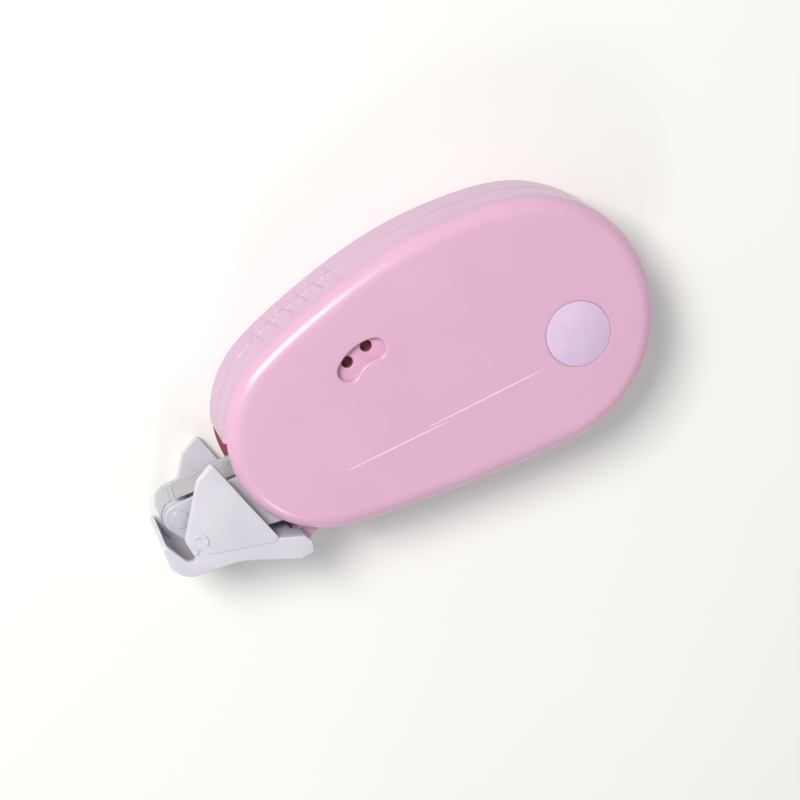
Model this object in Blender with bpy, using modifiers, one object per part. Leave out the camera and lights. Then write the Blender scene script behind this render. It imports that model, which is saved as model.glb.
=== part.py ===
"""Double-sided glue tape runner with a flip cap over its applicator tip.

The runner lies on the far half of its casing. +X points to the round rear end, -X to the
applicator tip, +Y to the ribbed upper edge and +Z through the thickness. The origin is on the
rest plane, under the middle of the whole runner. Sizes below are in millimetres, and MM turns
them into the metres that Blender uses.
"""
import math

import bpy
import bmesh

MM = 0.001

# Casing: a soft envelope of three discs, in two halves. AXIS_Y is the height of the rear
# disc's centre, and the other heights are measured from it.
BODY_LENGTH = 61.7
AXIS_Y = -0.53
WALL = 1.2
EDGE_FILLET = 2.5
PARTING_GAP = 0.3
REAR_RADIUS = 17.6
CREST_RADIUS = 14.6
CREST_RISE = 0.8
CREST_AHEAD = 12.6
FRONT_RADIUS = 14.1
FRONT_RAISED = 0.4
LOBE_BLEND = 1.2
MOUTH_TOP = 5.2
MOUTH_BOTTOM = -11.2
MOUTH_DEPTH = 8.9

# Clearances between pieces
FIT_GAP = 0.3
RUNNING_GAP = 0.4
OVERLAP = 0.3

# Grip ribs on the upper edge
RIB_COUNT = 6
RIB_PITCH = 2.5
RIB_RADIUS = 0.7
RIB_HEIGHT = 0.4
RIB_LENGTH = 8.4
RIB_FIRST_BEHIND_FRONT = 10.7

# Bean-shaped strap recess with its two holes
RECESS_BEND_RADIUS = 5.0
RECESS_HALF_WIDTH = 1.45
RECESS_HALF_ANGLE = math.radians(27.0)
RECESS_TILT = math.radians(104.0)
RECESS_DEPTH = 1.0
RECESS_AHEAD_OF_CREST = 9.8
RECESS_BELOW_EDGE = 9.4
STRAP_HOLE_RADIUS = 0.8
STRAP_HOLE_OUTWARD = 0.45
STRAP_HOLE_HALF_ANGLE = math.radians(17.3)

# Round label, let into the near face
LABEL_RADIUS = 4.45
LABEL_BEHIND_AXIS = 5.3
LABEL_BELOW_AXIS = 3.7
LABEL_POCKET = 0.4
LABEL_THICKNESS = 0.25

# Tape and reels
TAPE_WIDTH = 6.0
TAPE_LENGTH = 6000.0
TAPE_THICKNESS = 0.075
LINER_THICKNESS = 0.05
LINER_TAKEN_UP = 900.0
RIBBON_THICKNESS = 0.2
SUPPLY_CORE_RADIUS = 6.0
SUPPLY_CORE_WALL = 1.2
TAKEUP_CORE_RADIUS = 6.0
REEL_OVERHANG = 0.6

# Gears
GEAR_MODULE = 0.8
TAKEUP_TEETH = 17
GEAR_THICKNESS = 1.4
GEAR_BACKLASH = 0.25
GEAR_ADDENDUM = 0.9
GEAR_DEDENDUM = 1.15
FLANK_ANGLE = math.radians(20.0)
GEAR_LINE_ANGLE = math.radians(176.0)
FLANGE_THICKNESS = 0.6

# Posts, pegs and clutch
POST_RADIUS = 1.8
POST_BOSS_RADIUS = 3.1
POST_BOSS_LENGTH = 1.4
HUB_WALL = 1.1
CLUTCH_RING_RADIUS = 0.5
CLUTCH_CAP_RADIUS = 5.3
CLUTCH_CAP_THICKNESS = 0.6
PEG_RADIUS = 1.0
PEG_BOSS_RADIUS = 2.0
PEG_ENTRY = 3.0
GUIDE_POST_RADIUS = 0.9

# Guide rollers, placed from the front disc's centre
GUIDE_RADIUS = 1.7
GUIDE_FLANGE_RADIUS = 2.2
GUIDE_FLANGE_THICKNESS = 0.5
FEED_GUIDE_OFFSET = (-3.5, -8.9)
RETURN_GUIDE_OFFSET = (-8.1, -3.0)
ANCHOR_OFFSET = (-7.8, -7.4)

# Applicator head
TIP_AHEAD = 8.8
TIP_RISE = -1.5
TIP_ROLLER_RADIUS = 2.1
TIP_AXLE_RADIUS = 0.6
ARM_THICKNESS = 1.0
ARM_TIP_RADIUS = 1.8
ARM_CATCH_RADIUS = 1.3
ARM_ROOT_RADIUS = 2.1
WEB_THICKNESS = 1.2

# Flip cap
CAP_INSET = 0.4
CAP_AHEAD = 12.7
CHEEK_THICKNESS = 1.2
CAP_FLOOR = 0.9
CAP_BODY_GAP = 0.4
SNAP_OFFSET = (1.0, -3.45)
SNAP_BOSS_RADIUS = 1.15
SNAP_BOSS_HEIGHT = 0.2
SNAP_NUB_RADIUS = 0.8
SNAP_NUB_HEIGHT = 0.4
SNAP_NOTCH_RADIUS = 0.55
KNUCKLE_RADIUS = 1.25
HINGE_GAP = 1.2
HINGE_ANGLE = math.radians(232.0)
HINGE_PIN_RADIUS = 0.5
LUG_WIDTH = 5.8
LUG_SLOT_GAP = 0.8

OUTLINE_STEPS = 72
ROUND_STEPS = 32
SMALL_STEPS = 16
BIG = 60.0

# Thickness from the tape's width, with the gears, flange and walls on each side of it
SIDE_STACK = WALL + RUNNING_GAP + GEAR_THICKNESS + RUNNING_GAP + FLANGE_THICKNESS + FIT_GAP
THICKNESS = TAPE_WIDTH + 2 * SIDE_STACK

# Places that follow from the sizes above
REAR_END = (BODY_LENGTH + CAP_AHEAD) / 2
FRONT_END = REAR_END - BODY_LENGTH
REAR = (REAR_END - REAR_RADIUS, AXIS_Y)
CREST = (REAR[0] - CREST_AHEAD, AXIS_Y + REAR_RADIUS + CREST_RISE - CREST_RADIUS)
FRONT = (FRONT_END + FRONT_RADIUS, AXIS_Y + FRONT_RAISED)
LOBES = ((REAR, REAR_RADIUS), (CREST, CREST_RADIUS), (FRONT, FRONT_RADIUS))
MID_Z = THICKNESS / 2
PARTING_LOW = MID_Z - PARTING_GAP / 2
PARTING_HIGH = MID_Z + PARTING_GAP / 2
INNER_TOP = THICKNESS - WALL

GEAR_LOW = WALL + RUNNING_GAP
GEAR_TOP = GEAR_LOW + GEAR_THICKNESS
TAPE_LOW = MID_Z - TAPE_WIDTH / 2
TAPE_TOP = MID_Z + TAPE_WIDTH / 2
REEL_TOP = TAPE_TOP + REEL_OVERHANG
SUPPLY_AXIS = REAR
SUPPLY_GEAR_LIMIT = REAR_RADIUS - WALL - RUNNING_GAP
SUPPLY_TEETH = math.floor(2 * (SUPPLY_GEAR_LIMIT / GEAR_MODULE - GEAR_ADDENDUM) + 0.001)
GEAR_CENTRES = GEAR_MODULE * (SUPPLY_TEETH + TAKEUP_TEETH) / 2
TAKEUP_AXIS = (
    SUPPLY_AXIS[0] + GEAR_CENTRES * math.cos(GEAR_LINE_ANGLE),
    SUPPLY_AXIS[1] + GEAR_CENTRES * math.sin(GEAR_LINE_ANGLE),
)
SUPPLY_ROLL_RADIUS = math.sqrt(SUPPLY_CORE_RADIUS ** 2 + TAPE_LENGTH * TAPE_THICKNESS / math.pi)
TAKEUP_ROLL_RADIUS = math.sqrt(TAKEUP_CORE_RADIUS ** 2 + LINER_TAKEN_UP * LINER_THICKNESS / math.pi)
HUB_RADIUS = POST_RADIUS + FIT_GAP + HUB_WALL
POST_TOP = INNER_TOP - RUNNING_GAP

FEED_GUIDE = (FRONT[0] + FEED_GUIDE_OFFSET[0], FRONT[1] + FEED_GUIDE_OFFSET[1])
RETURN_GUIDE = (FRONT[0] + RETURN_GUIDE_OFFSET[0], FRONT[1] + RETURN_GUIDE_OFFSET[1])
ANCHOR = (FRONT[0] + ANCHOR_OFFSET[0], FRONT[1] + ANCHOR_OFFSET[1])
FLANGE_RADIUS = min(
    GEAR_CENTRES - SUPPLY_ROLL_RADIUS - 2 * FIT_GAP - RIBBON_THICKNESS,
    math.dist(TAKEUP_AXIS, RETURN_GUIDE) - GUIDE_FLANGE_RADIUS - 2 * FIT_GAP,
)

TIP_AXIS = (FRONT_END - TIP_AHEAD, AXIS_Y + TIP_RISE)
HINGE_REACH = FRONT_RADIUS + HINGE_GAP + KNUCKLE_RADIUS
HINGE_AXIS = (
    FRONT[0] + HINGE_REACH * math.cos(HINGE_ANGLE),
    FRONT[1] + HINGE_REACH * math.sin(HINGE_ANGLE),
)
ROLLER_HALF = TAPE_WIDTH / 2 + 2 * FIT_GAP
ARM_INNER = ROLLER_HALF + FIT_GAP
ARM_OUTER = ARM_INNER + ARM_THICKNESS
CAP_LOW = CAP_INSET
CAP_HIGH = THICKNESS - CAP_INSET
SNAP = (TIP_AXIS[0] + SNAP_OFFSET[0], TIP_AXIS[1] + SNAP_OFFSET[1])


# ---------------------------------------------------------------- collections and materials

def clear_scene():
    """Remove whatever the scene holds."""
    for item in list(bpy.data.objects):
        bpy.data.objects.remove(item, do_unlink=True)


def new_collection(name):
    """Return a new collection linked to the scene."""
    collection = bpy.data.collections.new(name)
    bpy.context.scene.collection.children.link(collection)
    return collection


def material(name, colour, roughness, metallic=0.0, transmission=0.0):
    """Return a Principled BSDF material."""
    made = bpy.data.materials.new(name)
    made.use_nodes = True
    shader = made.node_tree.nodes["Principled BSDF"]
    shader.inputs["Base Color"].default_value = (*colour, 1.0)
    shader.inputs["Roughness"].default_value = roughness
    shader.inputs["Metallic"].default_value = metallic
    shader.inputs["Transmission Weight"].default_value = transmission
    return made


clear_scene()
PARTS = new_collection("glue_tape_runner")
CUTTERS = new_collection("cutters")
PINK = material("pink_abs", (0.80, 0.50, 0.67), 0.25)
LAVENDER = material("lavender_print", (0.76, 0.59, 0.76), 0.4)
WHITE = material("white_pp", (0.80, 0.80, 0.84), 0.4)
CLEAR = material("clear_ps", (0.85, 0.85, 0.90), 0.15, transmission=0.6)
ROSE = material("rose_pom", (0.45, 0.10, 0.14), 0.4)
IVORY = material("ivory_pom", (0.82, 0.80, 0.74), 0.45)
RUBBER = material("black_rubber", (0.03, 0.03, 0.03), 0.8)
TAPE = material("glue_tape", (0.75, 0.78, 0.85), 0.3)
LINER = material("liner_paper", (0.85, 0.84, 0.78), 0.6)
STEEL = material("steel_pin", (0.60, 0.60, 0.62), 0.3, metallic=1.0)


# ---------------------------------------------------------------- outlines

def polar(centre, radius, angle):
    """Return the point at a radius and angle from a centre."""
    return (centre[0] + radius * math.cos(angle), centre[1] + radius * math.sin(angle))


def circle(centre, radius, steps=SMALL_STEPS):
    """Return a circle's points, anticlockwise."""
    return [polar(centre, radius, 2 * math.pi * i / steps) for i in range(steps)]


def casing_outline(inset=0.0, steps=OUTLINE_STEPS):
    """Return the casing's outline, moved inwards by inset.

    The support distance in each direction is a soft maximum over the three discs, so the
    outline is smooth and convex, and an inset is the same curve a fixed distance inside.
    """
    points = []
    for i in range(steps):
        angle = 2 * math.pi * i / steps
        along = [x * math.cos(angle) + y * math.sin(angle) + r for (x, y), r in LOBES]
        slope = [y * math.cos(angle) - x * math.sin(angle) for (x, y), _ in LOBES]
        peak = max(along)
        weights = [math.exp(LOBE_BLEND * (value - peak)) for value in along]
        total = sum(weights)
        reach = peak + math.log(total) / LOBE_BLEND - inset
        turn = sum(w * s for w, s in zip(weights, slope)) / total
        points.append((
            reach * math.cos(angle) - turn * math.sin(angle),
            reach * math.sin(angle) + turn * math.cos(angle),
        ))
    return points


def upper_edge(x):
    """Return the height of the casing's upper edge at x."""
    outline = casing_outline(steps=4 * OUTLINE_STEPS)
    heights = []
    for (x0, y0), (x1, y1) in zip(outline, outline[1:] + outline[:1]):
        if min(x0, x1) <= x <= max(x0, x1) and x0 != x1:
            heights.append(y0 + (y1 - y0) * (x - x0) / (x1 - x0))
    return max(heights)


def belt(discs, steps=SMALL_STEPS):
    """Return the convex outline of a belt pulled round some discs, ((x, y), radius) each."""
    cloud = [point for centre, radius in discs for point in circle(centre, radius, 2 * steps)]
    cloud = sorted(set(cloud))

    def half_hull(points):
        hull = []
        for p in points:
            while len(hull) > 1:
                a, b = hull[-2], hull[-1]
                if (b[0] - a[0]) * (p[1] - a[1]) - (b[1] - a[1]) * (p[0] - a[0]) > 0:
                    break
                hull.pop()
            hull.append(p)
        return hull[:-1]

    return half_hull(cloud) + half_hull(cloud[::-1])


def rounded(corners, steps=5):
    """Return a polygon whose corners (x, y, radius) are rounded by arcs."""
    points = []
    count = len(corners)
    for i, (x, y, radius) in enumerate(corners):
        before = corners[i - 1]
        after = corners[(i + 1) % count]
        if radius <= 0:
            points.append((x, y))
            continue
        to_before = math.atan2(before[1] - y, before[0] - x)
        to_after = math.atan2(after[1] - y, after[0] - x)
        half = ((to_after - to_before + math.pi) % (2 * math.pi) - math.pi) / 2
        centre = polar((x, y), radius / abs(math.sin(half)), to_before + half)
        side = math.copysign(math.pi / 2, half)
        start = to_before - side
        sweep = -(math.pi - 2 * abs(half)) * math.copysign(1.0, half)
        points += [polar(centre, radius, start + sweep * k / steps) for k in range(steps + 1)]
    return points


def recess_outline(centre, half_width, steps=6):
    """Return the bean's outline: a slot with round ends, bent along an arc about centre."""
    bend = RECESS_BEND_RADIUS
    first = RECESS_TILT - RECESS_HALF_ANGLE
    last = RECESS_TILT + RECESS_HALF_ANGLE
    points = []
    for k in range(steps + 1):
        points.append(polar(centre, bend + half_width, first + (last - first) * k / steps))
    end = polar(centre, bend, last)
    for k in range(1, steps):
        points.append(polar(end, half_width, last + math.pi * k / steps))
    for k in range(steps + 1):
        points.append(polar(centre, bend - half_width, last - (last - first) * k / steps))
    start = polar(centre, bend, first)
    for k in range(1, steps):
        points.append(polar(start, half_width, first + math.pi + math.pi * k / steps))
    return points


def gear_outline(teeth, phase):
    """Return a spur gear's outline about the origin, with a tooth centred on phase."""
    pitch_radius = GEAR_MODULE * teeth / 2
    half_tooth = math.pi * GEAR_MODULE / 4 - GEAR_BACKLASH / 2
    root_radius = pitch_radius - GEAR_DEDENDUM * GEAR_MODULE
    crest_radius = pitch_radius + GEAR_ADDENDUM * GEAR_MODULE
    points = []
    for i in range(teeth):
        middle = phase + 2 * math.pi * i / teeth
        flank = []
        for radius in (root_radius, crest_radius):
            half_width = half_tooth - (radius - pitch_radius) * math.tan(FLANK_ANGLE)
            flank.append((radius, half_width / radius))
        points += [polar((0, 0), radius, middle - half) for radius, half in flank]
        points += [polar((0, 0), radius, middle + half) for radius, half in reversed(flank)]
    return points


# ---------------------------------------------------------------- solids

def add_object(name, mesh, origin, finish):
    """Link a mesh as an object: a part with a finish, or a hidden cutter without one."""
    made = bpy.data.objects.new(name, mesh)
    made.location = [value * MM for value in origin]
    if finish is None:
        CUTTERS.objects.link(made)
        made.hide_render = True
        made.display_type = "WIRE"
        return made
    PARTS.objects.link(made)
    mesh.materials.append(finish)
    return made


def curve_mesh(name, loops, half_depth, cyclic=True):
    """Return the mesh of flat outlines given half a depth; an open path makes a ribbon."""
    curve = bpy.data.curves.new(name, "CURVE")
    curve.dimensions = "2D" if cyclic else "3D"
    curve.extrude = half_depth * MM
    if cyclic:
        curve.fill_mode = "BOTH"
    for loop in loops:
        spline = curve.splines.new("POLY")
        spline.points.add(len(loop) - 1)
        for point, (x, y) in zip(spline.points, loop):
            point.co = (x * MM, y * MM, 0.0, 1.0)
        spline.use_cyclic_u = cyclic
    holder = bpy.data.objects.new(name + "_curve", curve)
    bpy.context.scene.collection.objects.link(holder)
    graph = bpy.context.evaluated_depsgraph_get()
    mesh = bpy.data.meshes.new_from_object(holder.evaluated_get(graph))
    bpy.data.objects.remove(holder, do_unlink=True)
    mesh.name = name
    edit = bmesh.new()
    edit.from_mesh(mesh)
    bmesh.ops.remove_doubles(edit, verts=edit.verts, dist=0.001 * MM)
    if cyclic and len(loops) == 1:
        bmesh.ops.dissolve_limit(edit, angle_limit=0.001, verts=[], edges=edit.edges)
    bmesh.ops.recalc_face_normals(edit, faces=edit.faces)
    edit.to_mesh(mesh)
    edit.free()
    return mesh


def extruded(name, loops, low, high, finish=None, axis=(0.0, 0.0)):
    """Return the solid between two heights of one or more outlines; inner ones are holes."""
    local = [[(x - axis[0], y - axis[1]) for x, y in loop] for loop in loops]
    mesh = curve_mesh(name, local, (high - low) / 2)
    return add_object(name, mesh, (axis[0], axis[1], (low + high) / 2), finish)


def turned(name, axis, profile, finish=None, steps=ROUND_STEPS, ring=True):
    """Return a solid turned about a vertical axis.

    The profile's (radius, height) points run down the outer side; a ring's profile closes up
    its inner side, and a solid's ends on the axis.
    """
    edit = bmesh.new()
    verts = [edit.verts.new((r * MM, 0.0, z * MM)) for r, z in profile]
    pairs = list(zip(verts, verts[1:]))
    if ring:
        pairs.append((verts[-1], verts[0]))
    for pair in pairs:
        edit.edges.new(pair)
    mesh = bpy.data.meshes.new(name)
    edit.to_mesh(mesh)
    edit.free()
    made = add_object(name, mesh, (axis[0], axis[1], 0.0), finish)
    screw = made.modifiers.new("turn", "SCREW")
    screw.steps = steps
    screw.render_steps = steps
    screw.use_merge_vertices = True
    screw.merge_threshold = 0.00001
    screw.use_smooth_shade = True
    return made


def rod(name, axis, radius, low, high, finish=None, steps=SMALL_STEPS):
    """Return a plain vertical cylinder."""
    return turned(name, axis, [(0, high), (radius, high), (radius, low), (0, low)], finish, steps, ring=False)


def tube(name, axis, outer, inner, low, high, finish=None, steps=ROUND_STEPS):
    """Return a plain vertical tube."""
    profile = [(outer, high), (outer, low), (inner, low), (inner, high)]
    return turned(name, axis, profile, finish, steps)


def block(name, x_range, y_range, z_range, finish=None):
    """Return a box between the given limits."""
    corners = [(x, y) for x, y in zip(
        (x_range[0], x_range[1], x_range[1], x_range[0]),
        (y_range[0], y_range[0], y_range[1], y_range[1]),
    )]
    return extruded(name, [corners], z_range[0], z_range[1], finish)


def boolean(target, operation, tools):
    """Add one exact Boolean modifier to target for each tool."""
    for tool in tools:
        step = target.modifiers.new(tool.name, "BOOLEAN")
        step.operation = operation
        step.solver = "EXACT"
        step.object = tool


def join(target, *tools):
    """Grow target by the tools."""
    boolean(target, "UNION", tools)


def cut(target, *tools):
    """Take the tools out of target."""
    boolean(target, "DIFFERENCE", tools)


# ---------------------------------------------------------------- casing

def peg_places():
    """Return the casing's three peg axes, each clear of the reels and of the tape."""
    edge = WALL + PEG_BOSS_RADIUS + 2 * FIT_GAP
    below_takeup = FLANGE_RADIUS + PEG_BOSS_RADIUS + 2 * FIT_GAP
    return [
        polar(FRONT, FRONT_RADIUS - edge, math.radians(125.0)),
        polar(CREST, CREST_RADIUS - edge, math.radians(115.0)),
        polar(TAKEUP_AXIS, below_takeup, math.radians(-72.0)),
    ]


def rib_outlines():
    """Return the cross-sections of the grip ribs along the upper edge."""
    outlines = []
    for i in range(RIB_COUNT):
        x = FRONT_END + RIB_FIRST_BEHIND_FRONT + i * RIB_PITCH
        outlines.append(circle((x, upper_edge(x) + RIB_HEIGHT - RIB_RADIUS), RIB_RADIUS, 12))
    return outlines


def lug_outline():
    """Return the hinge lug's outline, from the hinge axis to the casing's lower wall."""
    root = polar(FRONT, FRONT_RADIUS - WALL / 2, HINGE_ANGLE + math.radians(9.0))
    return belt([(HINGE_AXIS, KNUCKLE_RADIUS), (root, WALL * 0.8)])


def casing_half(name, low, high, side):
    """Return one bare half of the casing, with its mouth, ribs and hinge lug.

    Args:
        name: the half's name.
        low: height of the half's lower limit.
        high: height of the half's upper limit.
        side: word added to the names of the half's cutters.
    """
    shell = extruded(name, [casing_outline()], 0.0, THICKNESS, PINK)
    bevel = shell.modifiers.new("edge_fillet", "BEVEL")
    bevel.width = min(EDGE_FILLET, THICKNESS / 2 - PARTING_GAP) * MM
    bevel.segments = 3
    bevel.limit_method = "ANGLE"
    cavity = extruded("cavity_" + side, [casing_outline(WALL)], WALL, INNER_TOP)
    mouth = block(
        "mouth_" + side,
        (FRONT_END - TIP_AHEAD, FRONT_END + MOUTH_DEPTH),
        (AXIS_Y + MOUTH_BOTTOM, AXIS_Y + MOUTH_TOP),
        (WALL, INNER_TOP),
    )
    other_half = (high, THICKNESS + 1.0) if low == 0.0 else (-1.0, low)
    rest = block("rest_" + side, (-BIG, BIG), (-BIG, BIG), other_half)
    cut(shell, cavity, mouth, rest)
    rib_low = max(low, MID_Z - RIB_LENGTH / 2)
    rib_high = min(high, MID_Z + RIB_LENGTH / 2)
    ribs = extruded("ribs_" + side, rib_outlines(), rib_low, rib_high)
    lug_low = max(low, MID_Z - LUG_WIDTH / 2)
    lug_high = min(high, MID_Z + LUG_WIDTH / 2)
    lug = extruded("lug_" + side, [lug_outline()], lug_low, lug_high)
    join(shell, ribs, lug)
    cut(shell, rod("lug_bore_" + side, HINGE_AXIS, HINGE_PIN_RADIUS + FIT_GAP, lug_low - 1, lug_high + 1))
    return shell


def make_far_shell():
    """Make the half of the casing that the runner lies on, with its posts and pegs."""
    shell = casing_half("far_shell", 0.0, PARTING_LOW, "far")
    root = WALL - OVERLAP
    for word, axis in (("supply", SUPPLY_AXIS), ("takeup", TAKEUP_AXIS)):
        join(shell, rod(word + "_post", axis, POST_RADIUS, root, POST_TOP, steps=24))
    for word, axis in (("feed", FEED_GUIDE), ("return", RETURN_GUIDE), ("anchor", ANCHOR)):
        join(shell, rod(word + "_pin", axis, GUIDE_POST_RADIUS, root, POST_TOP))
    for i, place in enumerate(peg_places()):
        join(
            shell,
            rod(f"peg_boss_{i}", place, PEG_BOSS_RADIUS, root, PARTING_LOW),
            rod(f"peg_{i}", place, PEG_RADIUS, root, MID_Z + PEG_ENTRY),
        )


def make_near_shell():
    """Make the half of the casing with the label and the strap recess."""
    shell = casing_half("near_shell", PARTING_HIGH, THICKNESS, "near")
    root = INNER_TOP + OVERLAP
    for word, axis in (("supply", SUPPLY_AXIS), ("takeup", TAKEUP_AXIS)):
        boss_low = INNER_TOP - POST_BOSS_LENGTH
        boss = tube(word + "_boss", axis, POST_BOSS_RADIUS, POST_RADIUS + FIT_GAP, boss_low, root, steps=24)
        join(shell, boss)
    for i, place in enumerate(peg_places()):
        join(shell, rod(f"socket_boss_{i}", place, PEG_BOSS_RADIUS, PARTING_HIGH, root))
        bore_top = MID_Z + PEG_ENTRY + FIT_GAP
        cut(shell, rod(f"socket_{i}", place, PEG_RADIUS + FIT_GAP, MID_Z - 1, bore_top))

    recess_x = CREST[0] - RECESS_AHEAD_OF_CREST
    middle = (recess_x, upper_edge(recess_x) - RECESS_BELOW_EDGE)
    bend = polar(middle, -RECESS_BEND_RADIUS, RECESS_TILT)
    floor = THICKNESS - RECESS_DEPTH
    backing = recess_outline(bend, RECESS_HALF_WIDTH + WALL / 2)
    recess = recess_outline(bend, RECESS_HALF_WIDTH)
    join(shell, extruded("recess_backing", [backing], floor - WALL, INNER_TOP + OVERLAP / 2))
    cut(shell, extruded("recess_pocket", [recess], floor, THICKNESS + 1))
    for word, turn in (("front", STRAP_HOLE_HALF_ANGLE), ("rear", -STRAP_HOLE_HALF_ANGLE)):
        hole = polar(bend, RECESS_BEND_RADIUS + STRAP_HOLE_OUTWARD, RECESS_TILT + turn)
        cut(shell, rod("strap_hole_" + word, hole, STRAP_HOLE_RADIUS, MID_Z, THICKNESS + 1))

    pocket_radius = LABEL_RADIUS + FIT_GAP
    pocket_floor = THICKNESS - LABEL_POCKET
    centre = label_centre()
    cut(shell, rod("label_pocket", centre, pocket_radius, pocket_floor, THICKNESS + 1, steps=ROUND_STEPS))


def label_centre():
    """Return the centre of the round label."""
    return (SUPPLY_AXIS[0] + LABEL_BEHIND_AXIS, SUPPLY_AXIS[1] - LABEL_BELOW_AXIS)


def make_label_disc():
    """Make the round label, just above the floor of its pocket."""
    low = THICKNESS - LABEL_POCKET + FIT_GAP
    rod("label_disc", label_centre(), LABEL_RADIUS, low, low + LABEL_THICKNESS, LAVENDER, ROUND_STEPS)


# ---------------------------------------------------------------- reels

def make_supply_drive():
    """Make the supply gear with its hub, the friction ring and the retaining cap."""
    outline = gear_outline(SUPPLY_TEETH, GEAR_LINE_ANGLE)
    placed = [(x + SUPPLY_AXIS[0], y + SUPPLY_AXIS[1]) for x, y in outline]
    bore_radius = POST_RADIUS + FIT_GAP
    bore = circle(SUPPLY_AXIS, bore_radius, 24)
    gear = extruded("supply_gear", [placed, bore], GEAR_LOW, GEAR_TOP, IVORY, SUPPLY_AXIS)
    hub_low = GEAR_TOP - OVERLAP
    join(gear, tube("supply_hub", SUPPLY_AXIS, HUB_RADIUS, bore_radius, hub_low, REEL_TOP, steps=24))
    ring_radius = HUB_RADIUS + FIT_GAP + CLUTCH_RING_RADIUS
    section = circle((ring_radius, MID_Z), CLUTCH_RING_RADIUS, 8)
    turned("clutch_ring", SUPPLY_AXIS, section[::-1], RUBBER)
    low = REEL_TOP + FIT_GAP
    tube("clutch_cap", SUPPLY_AXIS, CLUTCH_CAP_RADIUS, bore_radius, low, low + CLUTCH_CAP_THICKNESS, WHITE)


def make_supply_spool():
    """Make the supply core and the full roll of glue tape on it."""
    core_bore = SUPPLY_CORE_RADIUS - SUPPLY_CORE_WALL
    tube("supply_core", SUPPLY_AXIS, SUPPLY_CORE_RADIUS, core_bore, GEAR_TOP + FIT_GAP, REEL_TOP, ROSE)
    roll_bore = SUPPLY_CORE_RADIUS + FIT_GAP
    tube("supply_tape_roll", SUPPLY_AXIS, SUPPLY_ROLL_RADIUS, roll_bore, TAPE_LOW, TAPE_TOP, TAPE, 48)


def make_takeup_reel():
    """Make the take-up gear, flange and core in one moulding, its upper flange and its roll."""
    phase = GEAR_LINE_ANGLE + math.pi + math.pi / TAKEUP_TEETH
    placed = [(x + TAKEUP_AXIS[0], y + TAKEUP_AXIS[1]) for x, y in gear_outline(TAKEUP_TEETH, phase)]
    bore_radius = POST_RADIUS + FIT_GAP
    bore = circle(TAKEUP_AXIS, bore_radius, 24)
    reel = extruded("takeup_reel", [placed, bore], GEAR_LOW, GEAR_TOP, ROSE, TAKEUP_AXIS)
    flange_low = GEAR_TOP + RUNNING_GAP
    neck = POST_RADIUS + 2 * HUB_WALL
    step = TAPE_TOP + FIT_GAP
    spool_profile = [
        (neck - FIT_GAP, step + FLANGE_THICKNESS + FIT_GAP),
        (neck - FIT_GAP, step),
        (TAKEUP_CORE_RADIUS, step),
        (TAKEUP_CORE_RADIUS, flange_low + FLANGE_THICKNESS),
        (FLANGE_RADIUS, flange_low + FLANGE_THICKNESS),
        (FLANGE_RADIUS, flange_low),
        (neck, flange_low),
        (neck, GEAR_TOP - OVERLAP),
        (bore_radius, GEAR_TOP - OVERLAP),
        (bore_radius, step + FLANGE_THICKNESS + FIT_GAP),
    ]
    join(reel, turned("takeup_spool", TAKEUP_AXIS, spool_profile))
    low = step + FIT_GAP
    tube("takeup_flange", TAKEUP_AXIS, FLANGE_RADIUS, neck, low, low + FLANGE_THICKNESS, WHITE)
    roll_bore = TAKEUP_CORE_RADIUS + FIT_GAP
    tube("takeup_liner_roll", TAKEUP_AXIS, TAKEUP_ROLL_RADIUS + FIT_GAP, roll_bore, TAPE_LOW, TAPE_TOP, LINER)


# ---------------------------------------------------------------- guides and tape

def flanged_roller(name, axis, radius, flange, bore, finish):
    """Make a roller with a flange at each end, centred on the tape."""
    top = MID_Z + ROLLER_HALF
    low = MID_Z - ROLLER_HALF
    profile = [
        (flange, top),
        (flange, top - GUIDE_FLANGE_THICKNESS),
        (radius, top - GUIDE_FLANGE_THICKNESS),
        (radius, low + GUIDE_FLANGE_THICKNESS),
        (flange, low + GUIDE_FLANGE_THICKNESS),
        (flange, low),
        (bore, low),
        (bore, top),
    ]
    turned(name, axis, profile, finish, 24)


def make_guide_rollers():
    """Make the two rollers that lead the tape to the head and the liner back."""
    bore = GUIDE_POST_RADIUS + FIT_GAP
    for name, axis in (("feed_guide_roller", FEED_GUIDE), ("return_guide_roller", RETURN_GUIDE)):
        flanged_roller(name, axis, GUIDE_RADIUS, GUIDE_FLANGE_RADIUS, bore, ROSE)


def tangent_points(first, second):
    """Return where a straight run leaves one disc and meets the next.

    A disc is ((x, y), signed radius), positive when its centre is on the left of the run.
    """
    (c1, s1), (c2, s2) = first, second
    span = math.dist(c1, c2)
    heading = math.atan2(c2[1] - c1[1], c2[0] - c1[0]) - math.asin((s2 - s1) / span)
    left = heading + math.pi / 2
    return polar(c1, -s1, left), polar(c2, -s2, left)


def arc_between(centre, start, end, turn, steps):
    """Return points on a circle from start to end, turning the given way (+1 anticlockwise)."""
    radius = math.dist(centre, start)
    first = math.atan2(start[1] - centre[1], start[0] - centre[0])
    last = math.atan2(end[1] - centre[1], end[0] - centre[0])
    sweep = ((last - first) * turn) % (2 * math.pi) * turn
    return [polar(centre, radius, first + sweep * k / steps) for k in range(steps + 1)]


def ribbon(name, path, finish):
    """Make a strip of tape along a path."""
    mesh = curve_mesh(name, [path], TAPE_WIDTH / 2, cyclic=False)
    made = add_object(name, mesh, (0.0, 0.0, MID_Z), finish)
    solid = made.modifiers.new("thickness", "SOLIDIFY")
    solid.thickness = RIBBON_THICKNESS * MM
    solid.offset = 0.0


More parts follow.
